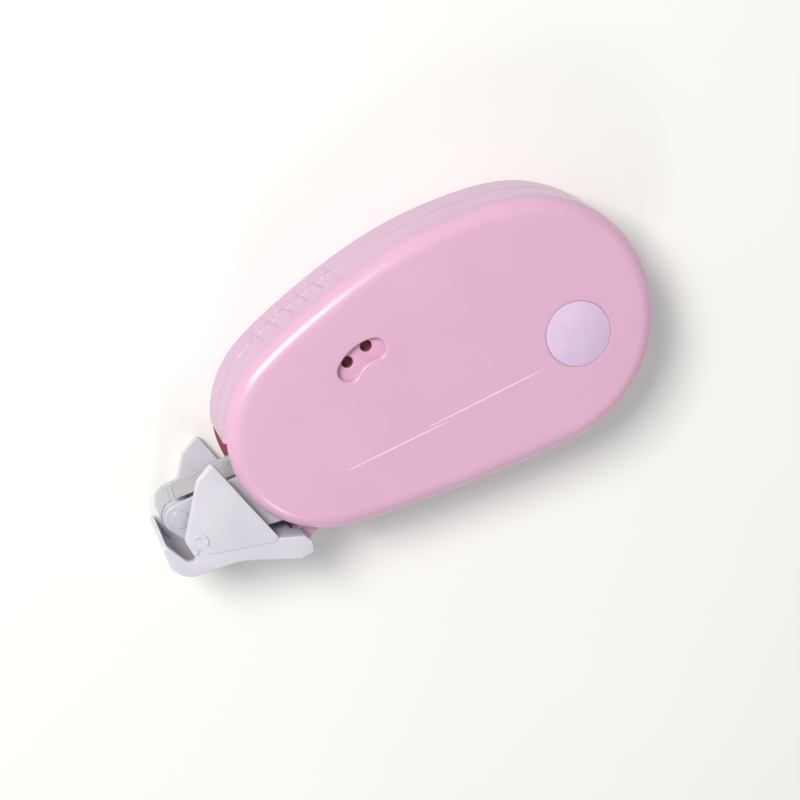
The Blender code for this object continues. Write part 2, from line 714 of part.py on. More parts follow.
def make_tape_runs():
    """Make the tape from the supply roll round the tip, and the liner from there to the reel."""
    lift = FIT_GAP + RIBBON_THICKNESS / 2
    supply = (SUPPLY_AXIS, -(SUPPLY_ROLL_RADIUS + lift))
    feed = (FEED_GUIDE, -(GUIDE_RADIUS + lift))
    tip = (TIP_AXIS, -(TIP_ROLLER_RADIUS + lift))
    back = (RETURN_GUIDE, -(GUIDE_RADIUS + lift))
    takeup = (TAKEUP_AXIS, TAKEUP_ROLL_RADIUS + FIT_GAP + lift)

    leave_supply, meet_feed = tangent_points(supply, feed)
    leave_feed, meet_tip = tangent_points(feed, tip)
    leave_tip, meet_back = tangent_points(tip, back)
    leave_back, meet_takeup = tangent_points(back, takeup)
    round_feed = arc_between(feed[0], meet_feed, leave_feed, -1, 3)
    round_tip = arc_between(tip[0], meet_tip, leave_tip, -1, 12)
    ribbon("feed_tape_run", [leave_supply] + round_feed + round_tip, TAPE)

    run = math.dist(leave_tip, meet_back)
    step = (FIT_GAP + RIBBON_THICKNESS) / run
    start = tuple(a + (b - a) * step for a, b in zip(leave_tip, meet_back))
    round_back = arc_between(back[0], meet_back, leave_back, -1, 3)
    ribbon("liner_return_run", [start] + round_back + [meet_takeup], LINER)


# ---------------------------------------------------------------- applicator head

def make_head():
    """Make the clear head, its tip roller and the roller's axle."""
    arm = belt([
        (TIP_AXIS, ARM_TIP_RADIUS),
        (SNAP, ARM_CATCH_RADIUS),
        (ANCHOR, ARM_ROOT_RADIUS),
        (RETURN_GUIDE, ARM_ROOT_RADIUS),
    ])
    post_bore = GUIDE_POST_RADIUS + FIT_GAP
    holes = [
        circle(TIP_AXIS, TIP_AXLE_RADIUS + FIT_GAP),
        circle(ANCHOR, post_bore),
        circle(RETURN_GUIDE, post_bore),
    ]
    low_arm = (MID_Z - ARM_OUTER, MID_Z - ARM_INNER)
    high_arm = (MID_Z + ARM_INNER, MID_Z + ARM_OUTER)
    head = extruded("head_frame", [arm] + holes, low_arm[0], low_arm[1], CLEAR)
    upper = extruded("upper_arm", [arm] + holes, high_arm[0], high_arm[1])
    middle = [(a + b) / 2 for a, b in zip(TIP_AXIS, ANCHOR)]
    web = belt([
        ((middle[0] - 2 * WEB_THICKNESS, middle[1] + WEB_THICKNESS), WEB_THICKNESS / 2),
        ((middle[0] + 3 * WEB_THICKNESS, middle[1]), WEB_THICKNESS / 2),
    ])
    join(head, extruded("web", [web], low_arm[1] - OVERLAP, high_arm[0] + OVERLAP), upper)

    bore = TIP_AXLE_RADIUS + FIT_GAP
    tube("tip_roller", TIP_AXIS, TIP_ROLLER_RADIUS, bore, MID_Z - ROLLER_HALF, MID_Z + ROLLER_HALF, CLEAR, 24)
    reach = ARM_OUTER + FIT_GAP / 2
    rod("tip_axle", TIP_AXIS, TIP_AXLE_RADIUS, MID_Z - reach, MID_Z + reach, STEEL)


# ---------------------------------------------------------------- flip cap

def cap_side_corners():
    """Return the corners (x, y, radius) of the cap seen from the side, anticlockwise."""
    tip_x, tip_y = TIP_AXIS
    hinge_x, hinge_y = HINGE_AXIS
    lip_x = FRONT_END - CAP_AHEAD
    back_x = FRONT_END - CAP_BODY_GAP
    return [
        (lip_x + 0.1, tip_y - 2.0, 0.2),
        (lip_x - 0.4, tip_y - 7.1, 3.4),
        (tip_x + 4.7, tip_y - 8.6, 8.0),
        (hinge_x - 0.9, hinge_y - KNUCKLE_RADIUS, 0.6),
        (hinge_x + KNUCKLE_RADIUS, hinge_y - KNUCKLE_RADIUS, KNUCKLE_RADIUS * 0.95),
        (hinge_x + KNUCKLE_RADIUS, hinge_y + KNUCKLE_RADIUS, KNUCKLE_RADIUS * 0.95),
        (hinge_x - 2.4, hinge_y + 3.0, 0.3),
        (back_x + 0.25, tip_y - 1.0, 12.0),
        (tip_x + 7.1, tip_y + 5.4, 0.5),
        (tip_x + 4.3, tip_y + 4.1, 1.4),
        (tip_x - 0.75, tip_y - 2.5, 0.8),
        (tip_x - 0.5, tip_y - 5.6, 0.3),
        (tip_x - 1.6, tip_y - 5.4, 1.2),
        (lip_x + 0.8, tip_y - 2.0, 0.2),
    ]


def trough_corners():
    """Return the corners of the space between the cheeks, above the cap's floor."""
    tip_x, tip_y = TIP_AXIS
    lip_x = FRONT_END - CAP_AHEAD
    roof = tip_y + BIG / 2
    inner_lip = lip_x + CAP_FLOOR * 0.8
    end_x = HINGE_AXIS[0] - KNUCKLE_RADIUS - 1.3
    return [
        (inner_lip, roof, 0),
        (inner_lip, tip_y - 6.6 + 0.4, 2.4),
        (tip_x + 4.7, tip_y - 8.6 + CAP_FLOOR, 8.0),
        (end_x, HINGE_AXIS[1] + KNUCKLE_RADIUS + CAP_FLOOR * 0.8, 0),
        (end_x, roof, 0),
    ]


def make_cap():
    """Make the flip cap: floor, lip, cheeks, snap bosses and hinge knuckles in one moulding."""
    cap = extruded("cap", [rounded(cap_side_corners())], CAP_LOW, CAP_HIGH, WHITE, HINGE_AXIS)
    inner = (CAP_LOW + CHEEK_THICKNESS, CAP_HIGH - CHEEK_THICKNESS)
    trough = extruded("cap_trough", [rounded(trough_corners())], *inner)
    slot_half = LUG_WIDTH / 2 + FIT_GAP
    slot_radius = KNUCKLE_RADIUS + LUG_SLOT_GAP
    slot = rod("lug_slot", HINGE_AXIS, slot_radius, MID_Z - slot_half, MID_Z + slot_half, steps=24)
    bore = rod("cap_bore", HINGE_AXIS, HINGE_PIN_RADIUS + FIT_GAP, CAP_LOW - 1, CAP_HIGH + 1)
    notch = rod(
        "snap_notch", (SNAP[0] - 0.6, SNAP[1] - 1.6), SNAP_NOTCH_RADIUS, CAP_LOW - 1, CAP_HIGH + 1, steps=12
    )
    cut(cap, trough, slot, bore, notch)
    for word, outer, inward, sign in (("low", CAP_LOW, inner[0], -1), ("high", CAP_HIGH, inner[1], 1)):
        ends = sorted((outer + sign * SNAP_BOSS_HEIGHT, outer - sign * OVERLAP))
        join(cap, rod("snap_boss_" + word, SNAP, SNAP_BOSS_RADIUS, *ends))
        ends = sorted((inward - sign * SNAP_NUB_HEIGHT, inward + sign * OVERLAP))
        join(cap, rod("snap_nub_" + word, SNAP, SNAP_NUB_RADIUS, *ends))


def make_hinge_pin():
    """Make the pin that the cap swings on."""
    rod("cap_hinge_pin", HINGE_AXIS, HINGE_PIN_RADIUS, CAP_LOW + FIT_GAP, CAP_HIGH - FIT_GAP, STEEL)


def main():
    """Build every piece of the runner."""
    make_far_shell()
    make_near_shell()
    make_label_disc()
    make_supply_drive()
    make_supply_spool()
    make_takeup_reel()
    make_guide_rollers()
    make_tape_runs()
    make_head()
    make_cap()
    make_hinge_pin()


main()
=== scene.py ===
"""Looks of a double-sided glue tape runner with a flip cap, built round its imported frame.

The runner lies on the far half of its casing. +X points to the round rear end, -X to the
applicator tip, +Y to the ribbed upper edge and +Z through the thickness. Every size is in
millimetres until a mesh is written, when MM turns it into metres.
"""
import logging
import math
from dataclasses import dataclass, field
from enum import Enum

import bmesh
import bpy
import numpy as np
from mathutils import Matrix, Vector
from mathutils.geometry import delaunay_2d_cdt


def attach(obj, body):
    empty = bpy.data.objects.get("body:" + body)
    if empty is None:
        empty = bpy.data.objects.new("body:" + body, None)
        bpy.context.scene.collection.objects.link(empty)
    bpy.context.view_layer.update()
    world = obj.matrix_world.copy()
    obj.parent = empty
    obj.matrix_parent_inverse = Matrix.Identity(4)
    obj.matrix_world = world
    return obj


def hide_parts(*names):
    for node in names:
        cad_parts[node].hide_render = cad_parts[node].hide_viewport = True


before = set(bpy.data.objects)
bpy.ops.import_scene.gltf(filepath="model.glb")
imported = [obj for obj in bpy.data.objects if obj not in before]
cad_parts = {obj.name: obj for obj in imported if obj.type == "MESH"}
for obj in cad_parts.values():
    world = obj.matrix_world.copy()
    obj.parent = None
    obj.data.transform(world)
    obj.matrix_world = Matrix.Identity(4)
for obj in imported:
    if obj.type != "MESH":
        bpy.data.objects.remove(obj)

MM = 0.001
THICKNESS = 14.6
MID_Z = THICKNESS / 2
# x and y of the upright axes: both reels, the guides, the head's anchor, the tip, the cap's hinge and snap.
SUPPLY_AXIS = (19.6, -0.53)
TAKEUP_AXIS = (-2.3464, 1.0046)
FEED_GUIDE = (-13.9, -9.03)
RETURN_GUIDE = (-18.5, -3.13)
ANCHOR = (-18.2, -7.53)
TIP_AXIS = (-33.3, -2.03)
HINGE_AXIS = (-20.5892, -13.1716)
SNAP = (-32.3, -5.48)
# Heights of the tape's edges, and of the ends of everything that it runs on.
TAPE_LOW, TAPE_TOP = 4.3, 10.3
ROLLER_LOW, ROLLER_TOP = 3.7, 10.9
# Radii of the full roll, the wound liner, the guides and the tip roller, and of both reels' bores.
SUPPLY_ROLL, LINER_ROLL, GUIDE_RADIUS, TIP_RADIUS = 13.388, 7.394, 1.7, 2.1
REEL_BORE = 2.1
SUPPLY_TEETH, TAKEUP_TEETH = 38, 17
# Length, in millimetres, under which an edge is a sliver of the mesh.
SLIVER = 0.0005

logging.basicConfig(level=logging.INFO, format="%(message)s")
log = logging.getLogger("glue_tape_runner")
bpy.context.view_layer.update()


class Side(Enum):
    """Which half of the casing a piece is."""

    NEAR = "near"
    FAR = "far"


# ---------------------------------------------------------------- flat outlines

def circle(centre: tuple[float, float], radius: float, count: int = 48) -> np.ndarray:
    """Return count points on a circle: the centre plus the radius times (cos a, sin a).

    Args:
        centre: the circle's centre.
        radius: the circle's radius.
        count: number of points, evenly spaced.

    Returns:
        Array of shape (count, 2), anticlockwise.
    """
    angle = np.linspace(0.0, 2 * np.pi, count, endpoint=False)
    return np.array(centre) + radius * np.stack([np.cos(angle), np.sin(angle)], -1)


def arc(centre: np.ndarray, radius: float, first: float, last: float, count: int) -> np.ndarray:
    """Return points on a circle: the centre plus the radius times (cos a, sin a).

    Args:
        centre: the circle's centre.
        radius: the circle's radius.
        first: angle of the first point.
        last: angle of the last point.
        count: number of points, both ends included.

    Returns:
        Array of shape (count, 2), clockwise where last is under first.
    """
    angle = np.linspace(first, last, count)
    return np.asarray(centre) + radius * np.stack([np.cos(angle), np.sin(angle)], -1)


def polar(centre: np.ndarray, radius: float, angle: float) -> np.ndarray:
    """Return the point at a radius and an angle from a centre."""
    return arc(centre, radius, angle, angle, 1)[0]


def rounded(corners: list[tuple[float, float, float]], steps: int = 8) -> np.ndarray:
    """Return a polygon with each corner rounded by an arc of its own radius.

    The arc's centre lies on the corner's bisector, radius / sin(half the corner's angle) away
    from it, and the arc sweeps pi less the corner's angle.

    Args:
        corners: x, y and radius of each corner, in order.
        steps: number of chords in each arc.

    Returns:
        Array of shape (corners x (steps + 1), 2).
    """
    data = np.array(corners, float)
    point, radius = data[:, :2], np.maximum(data[:, 2:], 1e-4)
    before, after = np.roll(point, 1, 0) - point, np.roll(point, -1, 0) - point
    to_before = np.arctan2(before[:, 1], before[:, 0])[:, None]
    to_after = np.arctan2(after[:, 1], after[:, 0])[:, None]
    half = ((to_after - to_before + np.pi) % (2 * np.pi) - np.pi) / 2
    away = radius / np.abs(np.sin(half))
    aim = to_before + half
    centre = point + away * np.concatenate([np.cos(aim), np.sin(aim)], 1)
    start = to_before - np.copysign(np.pi / 2, half)
    sweep = -(np.pi - 2 * np.abs(half)) * np.copysign(1.0, half)
    turn = start + sweep * np.linspace(0.0, 1.0, steps + 1)[None]
    ring = np.stack([np.cos(turn), np.sin(turn)], -1)
    return (centre[:, None] + radius[:, None] * ring).reshape(-1, 2)


def belt(discs: list[tuple[tuple[float, float], float]], count: int = 160) -> np.ndarray:
    """Return the outline of a belt pulled round some discs.

    In each direction the disc that reaches furthest gives the point: its centre plus its
    radius times the direction.

    Args:
        discs: centre and radius of each disc.
        count: number of directions.

    Returns:
        Array of shape (count, 2), anticlockwise.
    """
    angle = np.linspace(0.0, 2 * np.pi, count, endpoint=False)
    way = np.stack([np.cos(angle), np.sin(angle)], -1)
    centre = np.array([disc[0] for disc in discs])
    radius = np.array([disc[1] for disc in discs])
    furthest = (way @ centre.T + radius).argmax(1)
    return centre[furthest] + radius[furthest, None] * way


def moved_in(loop: np.ndarray, amount: float) -> np.ndarray:
    """Return an anticlockwise loop moved inwards: each point goes against its edges' mean normal.

    The step is amount over the cosine of half the turn, so that straight edges stay parallel.

    Args:
        loop: the points, of shape (n, 2).
        amount: how far each edge moves, negative for outwards.

    Returns:
        Array of the loop's shape. A point that repeats the one before stays where it is.
    """
    keep = np.hypot(*(loop - np.roll(loop, 1, 0)).T) > 1e-5
    edge = np.roll(loop, -1, 0) - loop
    edge = edge / np.maximum(np.hypot(*edge.T)[:, None], 1e-9)
    back = np.roll(edge, 1, 0)
    normal = np.stack([back[:, 1] + edge[:, 1], -back[:, 0] - edge[:, 0]], -1)
    length = np.maximum(np.hypot(*normal.T)[:, None], 1e-6)
    step = amount / np.clip(length / 2, 0.5, 1.0)
    result = loop - normal / length * step
    result[~keep] = loop[~keep]
    return result


def distinct(loop: np.ndarray, gap: float = 1e-4) -> np.ndarray:
    """Return a loop without points that repeat the one before."""
    return loop[np.hypot(*(loop - np.roll(loop, 1, 0)).T) > gap]


def anticlockwise(loop: np.ndarray) -> np.ndarray:
    """Return the loop in anticlockwise order, by the sign of its shoelace area.

    Args:
        loop: the points, of shape (n, 2).

    Returns:
        The same points, reversed where the area is negative.
    """
    x, y = loop.T
    area = np.sum(x * np.roll(y, -1) - np.roll(x, -1) * y)
    return loop if area > 0 else loop[::-1]


def gear_outline(centre: tuple[float, float], teeth: int, phase: float) -> np.ndarray:
    """Return a spur gear's outline, with one tooth centred on the angle phase.

    Each tooth is half as wide as the pitch at the pitch circle and narrows outwards by the
    tangent of the flank angle, with its root and its crest rounded by an extra point each.

    Args:
        centre: the gear's axis.
        teeth: number of teeth.
        phase: direction of the middle of one tooth.

    Returns:
        Array of shape (10 x teeth, 2), anticlockwise.
    """
    module, backlash, flank, rounding = 0.8, 0.25, math.radians(20.0), 0.12
    pitch = module * teeth / 2
    # Root, foot of the flank, pitch circle, top of the flank and crest.
    radius = np.array([pitch - 0.92, pitch - 0.62, pitch, pitch + 0.55, pitch + 0.72])
    width = np.pi * module / 4 - backlash / 2 - (radius - pitch) * math.tan(flank)
    half = (width + np.array([rounding, 0.0, 0.0, 0.0, -rounding])) / radius
    middle = phase + np.linspace(0.0, 2 * np.pi, teeth, endpoint=False)[:, None]
    angle = np.concatenate([middle - half, (middle + half)[:, ::-1]], 1)
    reach = np.concatenate([radius, radius[::-1]])[None]
    outline = np.stack([reach * np.cos(angle), reach * np.sin(angle)], -1)
    return np.array(centre) + outline.reshape(-1, 2)


@dataclass(frozen=True)
class CasingOutline:
    """The casing's outline: a soft envelope of three discs.

    Attributes:
        lobes: x, y and radius of each disc.
        blend: how sharply one disc's edge gives way to the next.
    """

    lobes: tuple = ((19.6, -0.53, 17.6), (7.0, 3.27, 14.6), (-10.4, -0.13, 14.1))
    blend: float = 1.2

    def support(self, angle: np.ndarray) -> tuple[np.ndarray, np.ndarray]:
        """Return the outline's reach in each direction, and how fast the reach turns.

        The reach is the logarithm of the summed exponentials of the discs' own reaches.

        Args:
            angle: directions, of any shape.

        Returns:
            Reach and its slope over the angle, each of the angle's shape.
        """
        flat = np.asarray(angle, float)
        shape = (-1,) + (1,) * flat.ndim
        x, y, radius = (np.array(column).reshape(shape) for column in zip(*self.lobes))
        along = x * np.cos(flat) + y * np.sin(flat) + radius
        slope = y * np.cos(flat) - x * np.sin(flat)
        peak = along.max(0)
        weight = np.exp(self.blend * (along - peak))
        total = weight.sum(0)
        return peak + np.log(total) / self.blend, (weight * slope).sum(0) / total

    def points(self, angle: np.ndarray, inset: np.ndarray | float = 0.0) -> np.ndarray:
        """Return the points whose normals point along the angles, moved inwards by inset.

        A point is its reach less the inset along the normal, plus the reach's slope across it.

        Args:
            angle: directions of the normals, of any shape.
            inset: how far inwards, one number or an array that fits the angles.

        Returns:
            Array of the angles' shape, with x and y added as a last axis.
        """
        reach, turn = self.support(angle)
        reach = reach - inset
        cos, sin = np.cos(angle), np.sin(angle)
        return np.stack([reach * cos - turn * sin, reach * sin + turn * cos], -1)

    def front_angle(self, height: float, inset: float) -> float:
        """Return the angle at which the inset curve's front side crosses a height."""
        angle = np.linspace(np.pi / 2, 1.5 * np.pi, 4001)
        return float(np.interp(-height, -self.points(angle, inset)[:, 1], angle))

    def upper_edge(self, x: float) -> float:
        """Return where the upper edge lies at a place along the casing.

        Args:
            x: the place.

        Returns:
            The edge's y.
        """
        angle = np.linspace(0.0, np.pi, 4001)
        edge = self.points(angle)
        return float(np.interp(-x, -edge[:, 0], edge[:, 1]))

    def spread(self, first: float, last: float, count: int, fine: tuple[float, float]) -> np.ndarray:
        """Return angles whose points lie evenly along the outline, closer over the ribs.

        Args:
            first: first angle.
            last: last angle.
            count: number of angles, both ends included.
            fine: the x range of the upper edge that gets points four times as close.

        Returns:
            Array of count angles.
        """
        angle = np.linspace(first, last, 8001)
        place = self.points(angle)
        middle = (place[1:] + place[:-1]) / 2
        close = (middle[:, 0] > fine[0]) & (middle[:, 0] < fine[1]) & (middle[:, 1] > 5.0)
        run = np.hypot(*np.diff(place, axis=0).T) * (1.0 + 3.0 * close)
        total = np.concatenate([[0.0], np.cumsum(run)])
        return np.interp(np.linspace(0.0, total[-1], count), total, angle)

    def inside(self, place: np.ndarray, inset: float) -> np.ndarray:
        """Return which points lie further inside the outline than inset.

        A point does when its reach is under the outline's less the inset in every direction.

        Args:
            place: points of shape (n, 2).
            inset: the least distance from the outline.

        Returns:
            Array of n booleans.
        """
        angle = np.linspace(0.0, 2 * np.pi, 360, endpoint=False)
        reach, _ = self.support(angle)
        way = np.stack([np.cos(angle), np.sin(angle)])
        return (place @ way - reach).max(1) < -inset


OUTLINE = CasingOutline()


def crown(place: np.ndarray) -> np.ndarray:
    """Return how far the near face bulges: its height times 1 less the squared elliptical radius.

    Args:
        place: points with x and y on their last axis.

    Returns:
        Array of the points' shape without that axis.
    """
    bulge, (middle_x, middle_y), (half_x, half_y) = 0.2, (6.35, -0.2), (31.0, 17.5)
    x, y = place[..., 0], place[..., 1]
    return bulge * np.maximum(0.0, 1.0 - ((x - middle_x) / half_x) ** 2 - ((y - middle_y) / half_y) ** 2)


# ---------------------------------------------------------------- surfaces

def lifted(loop: np.ndarray, height: np.ndarray | float) -> np.ndarray:
    """Return flat points as points in space at a height, one for all or one for each."""
    height = np.broadcast_to(height, loop.shape[:-1])
    return np.concatenate([loop, height[..., None]], -1)


def within(places: np.ndarray, loop: np.ndarray) -> np.ndarray:
    """Return which points lie inside a loop, by how often a ray along +X crosses its edges.

    Args:
        places: points of shape (n, 2).
        loop: the loop's points, of shape (m, 2).

    Returns:
        Array of n booleans.
    """
    x, y = places[:, None, 0], places[:, None, 1]
    (x1, y1), (x2, y2) = loop.T, np.roll(loop, -1, 0).T
    spans = (y1 > y) != (y2 > y)
    reach = x1 + (y - y1) * (x2 - x1) / np.where(y2 == y1, 1.0, y2 - y1)
    return (spans & (x < reach)).sum(1) % 2 == 1


def filled(loops: list[np.ndarray], inner: np.ndarray | None = None) -> tuple[np.ndarray, np.ndarray]:
    """Return triangles that fill a flat region inside the first loop and outside the others.

    Args:
        loops: the outer loop, then the holes.
        inner: further points to use, away from the loops.

    Returns:
        Points of shape (n, 2) and triangles of shape (m, 3).
    """
    loops = [distinct(loop) for loop in loops]
    edges, start = [], 0
    for loop in loops:
        index = np.arange(len(loop))
        edges.append(np.stack([index, np.roll(index, -1)], -1) + start)
        start += len(loop)
    points = np.concatenate(loops + ([inner] if inner is not None else []))
    made = delaunay_2d_cdt(points.tolist(), np.concatenate(edges).tolist(), [], 1, 1e-6)
    places, triangles = np.array([tuple(v) for v in made[0]]), np.array(made[2], dtype=int)
    middle = places[triangles].mean(1)
    for hole in loops[1:]:
        triangles, middle = (part[~within(middle, hole)] for part in (triangles, middle))
    return places, triangles


def linked(name: str, data: bpy.types.ID) -> bpy.types.Object:
    """Make a new object in the scene.

    Args:
        name: the object's name.
        data: the mesh, light or camera that it shows.

    Returns:
        The object.
    """
    made = bpy.data.objects.new(name, data)
    bpy.context.scene.collection.objects.link(made)
    return made


def cleaned(mesh: bpy.types.Mesh, gap: float, sliver: float = 0.0, outwards: bool = True) -> bpy.types.Mesh:
    """Merge a mesh's doubles, drop its slivers and turn its faces outwards.

    Args:
        mesh: the mesh, which is changed.
        gap: distance within which points become one, in millimetres.
        sliver: length under which an edge is collapsed, or 0 to keep them all.
        outwards: whether to turn the faces outwards.

    Returns:
        The same mesh.
    """
    edit = bmesh.new()
    edit.from_mesh(mesh)
    bmesh.ops.remove_doubles(edit, verts=edit.verts, dist=gap * MM)
    if sliver:
        bmesh.ops.dissolve_degenerate(edit, edges=edit.edges, dist=sliver * MM)
    if outwards:
        bmesh.ops.recalc_face_normals(edit, faces=edit.faces)
    edit.to_mesh(mesh)
    edit.free()
    return mesh


@dataclass
class Skin:
    """A mesh being put together from grids and filled regions.

    Attributes:
        places: arrays of points, in millimetres.
        faces: lists of faces, counted from the first point of all.
        count: number of points so far.
        tone: which of the piece's finishes the next faces get.
        tones: the tone of each group of faces.
    """

    places: list[np.ndarray] = field(default_factory=list)
    faces: list[list] = field(default_factory=list)
    count: int = 0
    tone: int = 0
    tones: list[int] = field(default_factory=list)

    def add(self, places: np.ndarray, faces: list) -> None:
        """Add points and the faces between them.

        Args:
            places: points, with x, y and z on the last axis.
            faces: faces, whose indices count from the first point of all.
        """
        self.places.append(places.reshape(-1, 3))
        self.faces.append(faces)
        self.tones.append(self.tone)
        self.count += len(self.places[-1])

    def extend(self, other: "Skin") -> None:
        """Add all the points and faces of another skin.

        Args:
            other: the other skin, which stays as it is.
        """
        self.places += other.places
        self.faces += [[[index + self.count for index in face] for face in group] for group in other.faces]
        self.tones += other.tones
        self.count += other.count

    def grid(self, rows: np.ndarray, round_columns: bool = True, round_rows: bool = False) -> None:
        """Add quads between neighbouring rows and columns of points.

        Args:
            rows: points of shape (rows, columns, 3).
            round_columns: whether the last column meets the first.
            round_rows: whether the last row meets the first.
        """
        high, wide = rows.shape[:2]
        index = np.arange(high * wide).reshape(high, wide) + self.count
        below = np.roll(index, -1, 0)
        beside = np.roll(index, -1, 1)
        across = np.roll(below, -1, 1)
        quads = np.stack([index, beside, across, below], -1)
        quads = quads[: high if round_rows else high - 1, : wide if round_columns else wide - 1]
        self.add(rows, quads.reshape(-1, 4).tolist())

    def flat(self, loops: list[np.ndarray], height: float, inner: np.ndarray | None = None) -> None:
        """Add a filled region at a height.

        Args:
            loops: its outer loop, then its holes.
            height: the height.
            inner: further points to use, away from the loops.
        """
        points, triangles = filled(loops, inner)
        self.add(lifted(points, height), (triangles + self.count).tolist())

    def polygon(self, places: np.ndarray) -> None:
        """Add one face round a loop of points."""
        self.add(places, [(np.arange(len(places)) + self.count).tolist()])

    def plate(self, loops: list[np.ndarray], low: float, high: float, edge: float) -> None:
        """Add a flat plate with rounded edges, the first loop its outline and the others holes.

        An edge's quarter circle goes in by edge times (1 - sin t) and up by edge times cos t.

        Args:
            loops: the plate's outline, then its holes.
            low: height of its lower side.
            high: height of its upper side.
            edge: radius of its edges.
        """
        turn = np.linspace(0.0, np.pi / 2, 4)
        inset = edge * (1 - np.sin(turn))
        rise = edge * np.cos(turn)
        faces = []
        for i, loop in enumerate(loops):
            loop = distinct(anticlockwise(loop))
            sign = 1.0 if i == 0 else -1.0
            rings = [moved_in(loop, sign * step) for step in inset]
            upper = [lifted(ring, high - edge + up) for ring, up in zip(rings, rise)]
            lower = [lifted(ring, low + edge - up) for ring, up in zip(rings[::-1], rise[::-1])]
            self.grid(np.stack(upper + lower))
            faces.append(rings[0])
        self.flat(faces, high)
        self.flat(faces, low)

    def turned(self, axis: tuple[float, float], profile: list | np.ndarray, steps: int = 48,
               ring: bool = False) -> None:
        """Add a profile turned about an upright axis: a circle for each of its points.

        Args:
            axis: x and y of the axis.
            profile: (radius, height) of each point. Without ring its ends lie on the axis or on a plane.
            steps: number of columns round the axis.
            ring: whether the profile closes on itself.
        """
        loops = [lifted(circle(axis, radius, steps), height) for radius, height in profile]
        self.grid(np.stack(loops), round_rows=ring)

    def mesh(self, name: str, merge: bool = True) -> bpy.types.Mesh:
        """Return the mesh in metres.

        Args:
            name: the mesh's name.
            merge: whether to merge its doubles and turn its faces outwards.

        Returns:
            The mesh, with each face's tone as its material index.
        """
        made = bpy.data.meshes.new(name)
        faces = [face for group in self.faces for face in group]
        made.from_pydata((np.concatenate(self.places) * MM).tolist(), [], faces)
        tones = np.repeat(self.tones, [len(group) for group in self.faces]).astype(np.int32)
        made.polygons.foreach_set("material_index", tones)
        return cleaned(made, 0.0015, SLIVER) if merge else made


def slab(loops: list[np.ndarray], low: float, high: float, edge: float) -> Skin:
    """Return a plate with rounded edges as a skin of its own.

    Args:
        loops: the plate's outline, then its holes.
        low: height of its lower side.
        high: height of its upper side.
        edge: radius of its edges.

    Returns:
        The plate's skin.
    """
    skin = Skin()
    skin.plate(loops, low, high, edge)
    return skin


def hoop(axis: tuple[float, float], corners: list[tuple[float, float, float]], steps: int = 72) -> Skin:
    """Return a ring turned from a rounded profile.

    Args:
        axis: x and y of its axis.
        corners: (radius, height, corner radius) of the profile's corners.
        steps: number of columns round the axis.

    Returns:
        The ring's skin.
    """
    skin = Skin()
    skin.turned(axis, rounded(corners, 4), steps, ring=True)
    return skin


def tube(axis: tuple[float, float], outer: float, inner: float, low: float, high: float, edge: float) -> Skin:
    """Return a tube, a ring with four corners.

    Args:
        axis: x and y of its axis.
        outer: its outer radius.
        inner: its inner radius.
        low: height of its lower end.
        high: height of its upper end.
        edge: radius of its edges.

    Returns:
        The tube's skin.
    """
    return hoop(axis, [(outer, high, edge), (outer, low, edge), (inner, low, edge), (inner, high, edge)])


def in_one(name: str, base: Skin, joined: list[Skin], removed: tuple | list = (),
           last: tuple | list = ()) -> bpy.types.Mesh:
    """Return the mesh of one solid made of several.

    Args:
        name: the mesh's name.
        base: the solid to start from.
        joined: solids joined to it first.
        removed: solids taken out next.
        last: solids joined to it at the end.

    Returns:
        The mesh.
    """
    holder = linked(name, base.mesh(name))
    tools = []
    for operation, skins in (("UNION", joined), ("DIFFERENCE", removed), ("UNION", last)):
        for skin in skins:
            tool = linked("tool", skin.mesh("tool"))
            step = holder.modifiers.new("step", "BOOLEAN")
            step.operation = operation
            step.solver = "EXACT"
            step.object = tool
            tools.append(tool)
    graph = bpy.context.evaluated_depsgraph_get()
    result = bpy.data.meshes.new_from_object(holder.evaluated_get(graph))
    for item in tools + [holder]:
        bpy.data.objects.remove(item, do_unlink=True)
    result.name = name
    return cleaned(result, 0.002, SLIVER, outwards=False)


# ---------------------------------------------------------------- finishes

def linear(colour: str) -> tuple[float, float, float, float]:
    """Return an sRGB hex colour as linear RGBA.

    Below 0.04045 the value is over 12.92, and above it ((value + 0.055) / 1.055) to the 2.4.

    Args:
        colour: the colour as "#RRGGBB".

    Returns:
        Red, green, blue and an alpha of 1.
    """
    value = np.array([int(colour[i:i + 2], 16) for i in (1, 3, 5)]) / 255
    low, high = value / 12.92, ((value + 0.055) / 1.055) ** 2.4
    return (*np.where(value <= 0.04045, low, high).tolist(), 1.0)


def node(tree: bpy.types.NodeTree, kind: str, inputs: dict | None = None,
         **settings: object) -> bpy.types.Node:
    """Add a node with its settings and links.

    Args:
        tree: the material's node tree.
        kind: the node's type.
        inputs: a value, or a socket to link from, for each input.
        settings: the node's own settings.

    Returns:
        The node.
    """
    made = tree.nodes.new(kind)
    for name, value in settings.items():
        setattr(made, name, value)
    for name, value in (inputs or {}).items():
        if isinstance(value, bpy.types.NodeSocket):
            tree.links.new(value, made.inputs[name])
        else:
            made.inputs[name].default_value = value
    return made


def ramp(tree: bpy.types.NodeTree, factor: bpy.types.NodeSocket,
         stops: list[tuple[float, str]]) -> bpy.types.NodeSocket:
    """Add a colour ramp.

    Args:
        tree: the material's node tree.
        factor: the socket that it runs over.
        stops: position and sRGB hex colour of each of its stops.

    Returns:
        The socket with its colour.
    """
    made = node(tree, "ShaderNodeValToRGB", {"Fac": factor})
    elements = made.color_ramp.elements
    while len(elements) < len(stops):
        elements.new(0.5)
    for element, (position, colour) in zip(elements, stops):
        element.position = position
        element.color = linear(colour)
    return made.outputs["Color"]


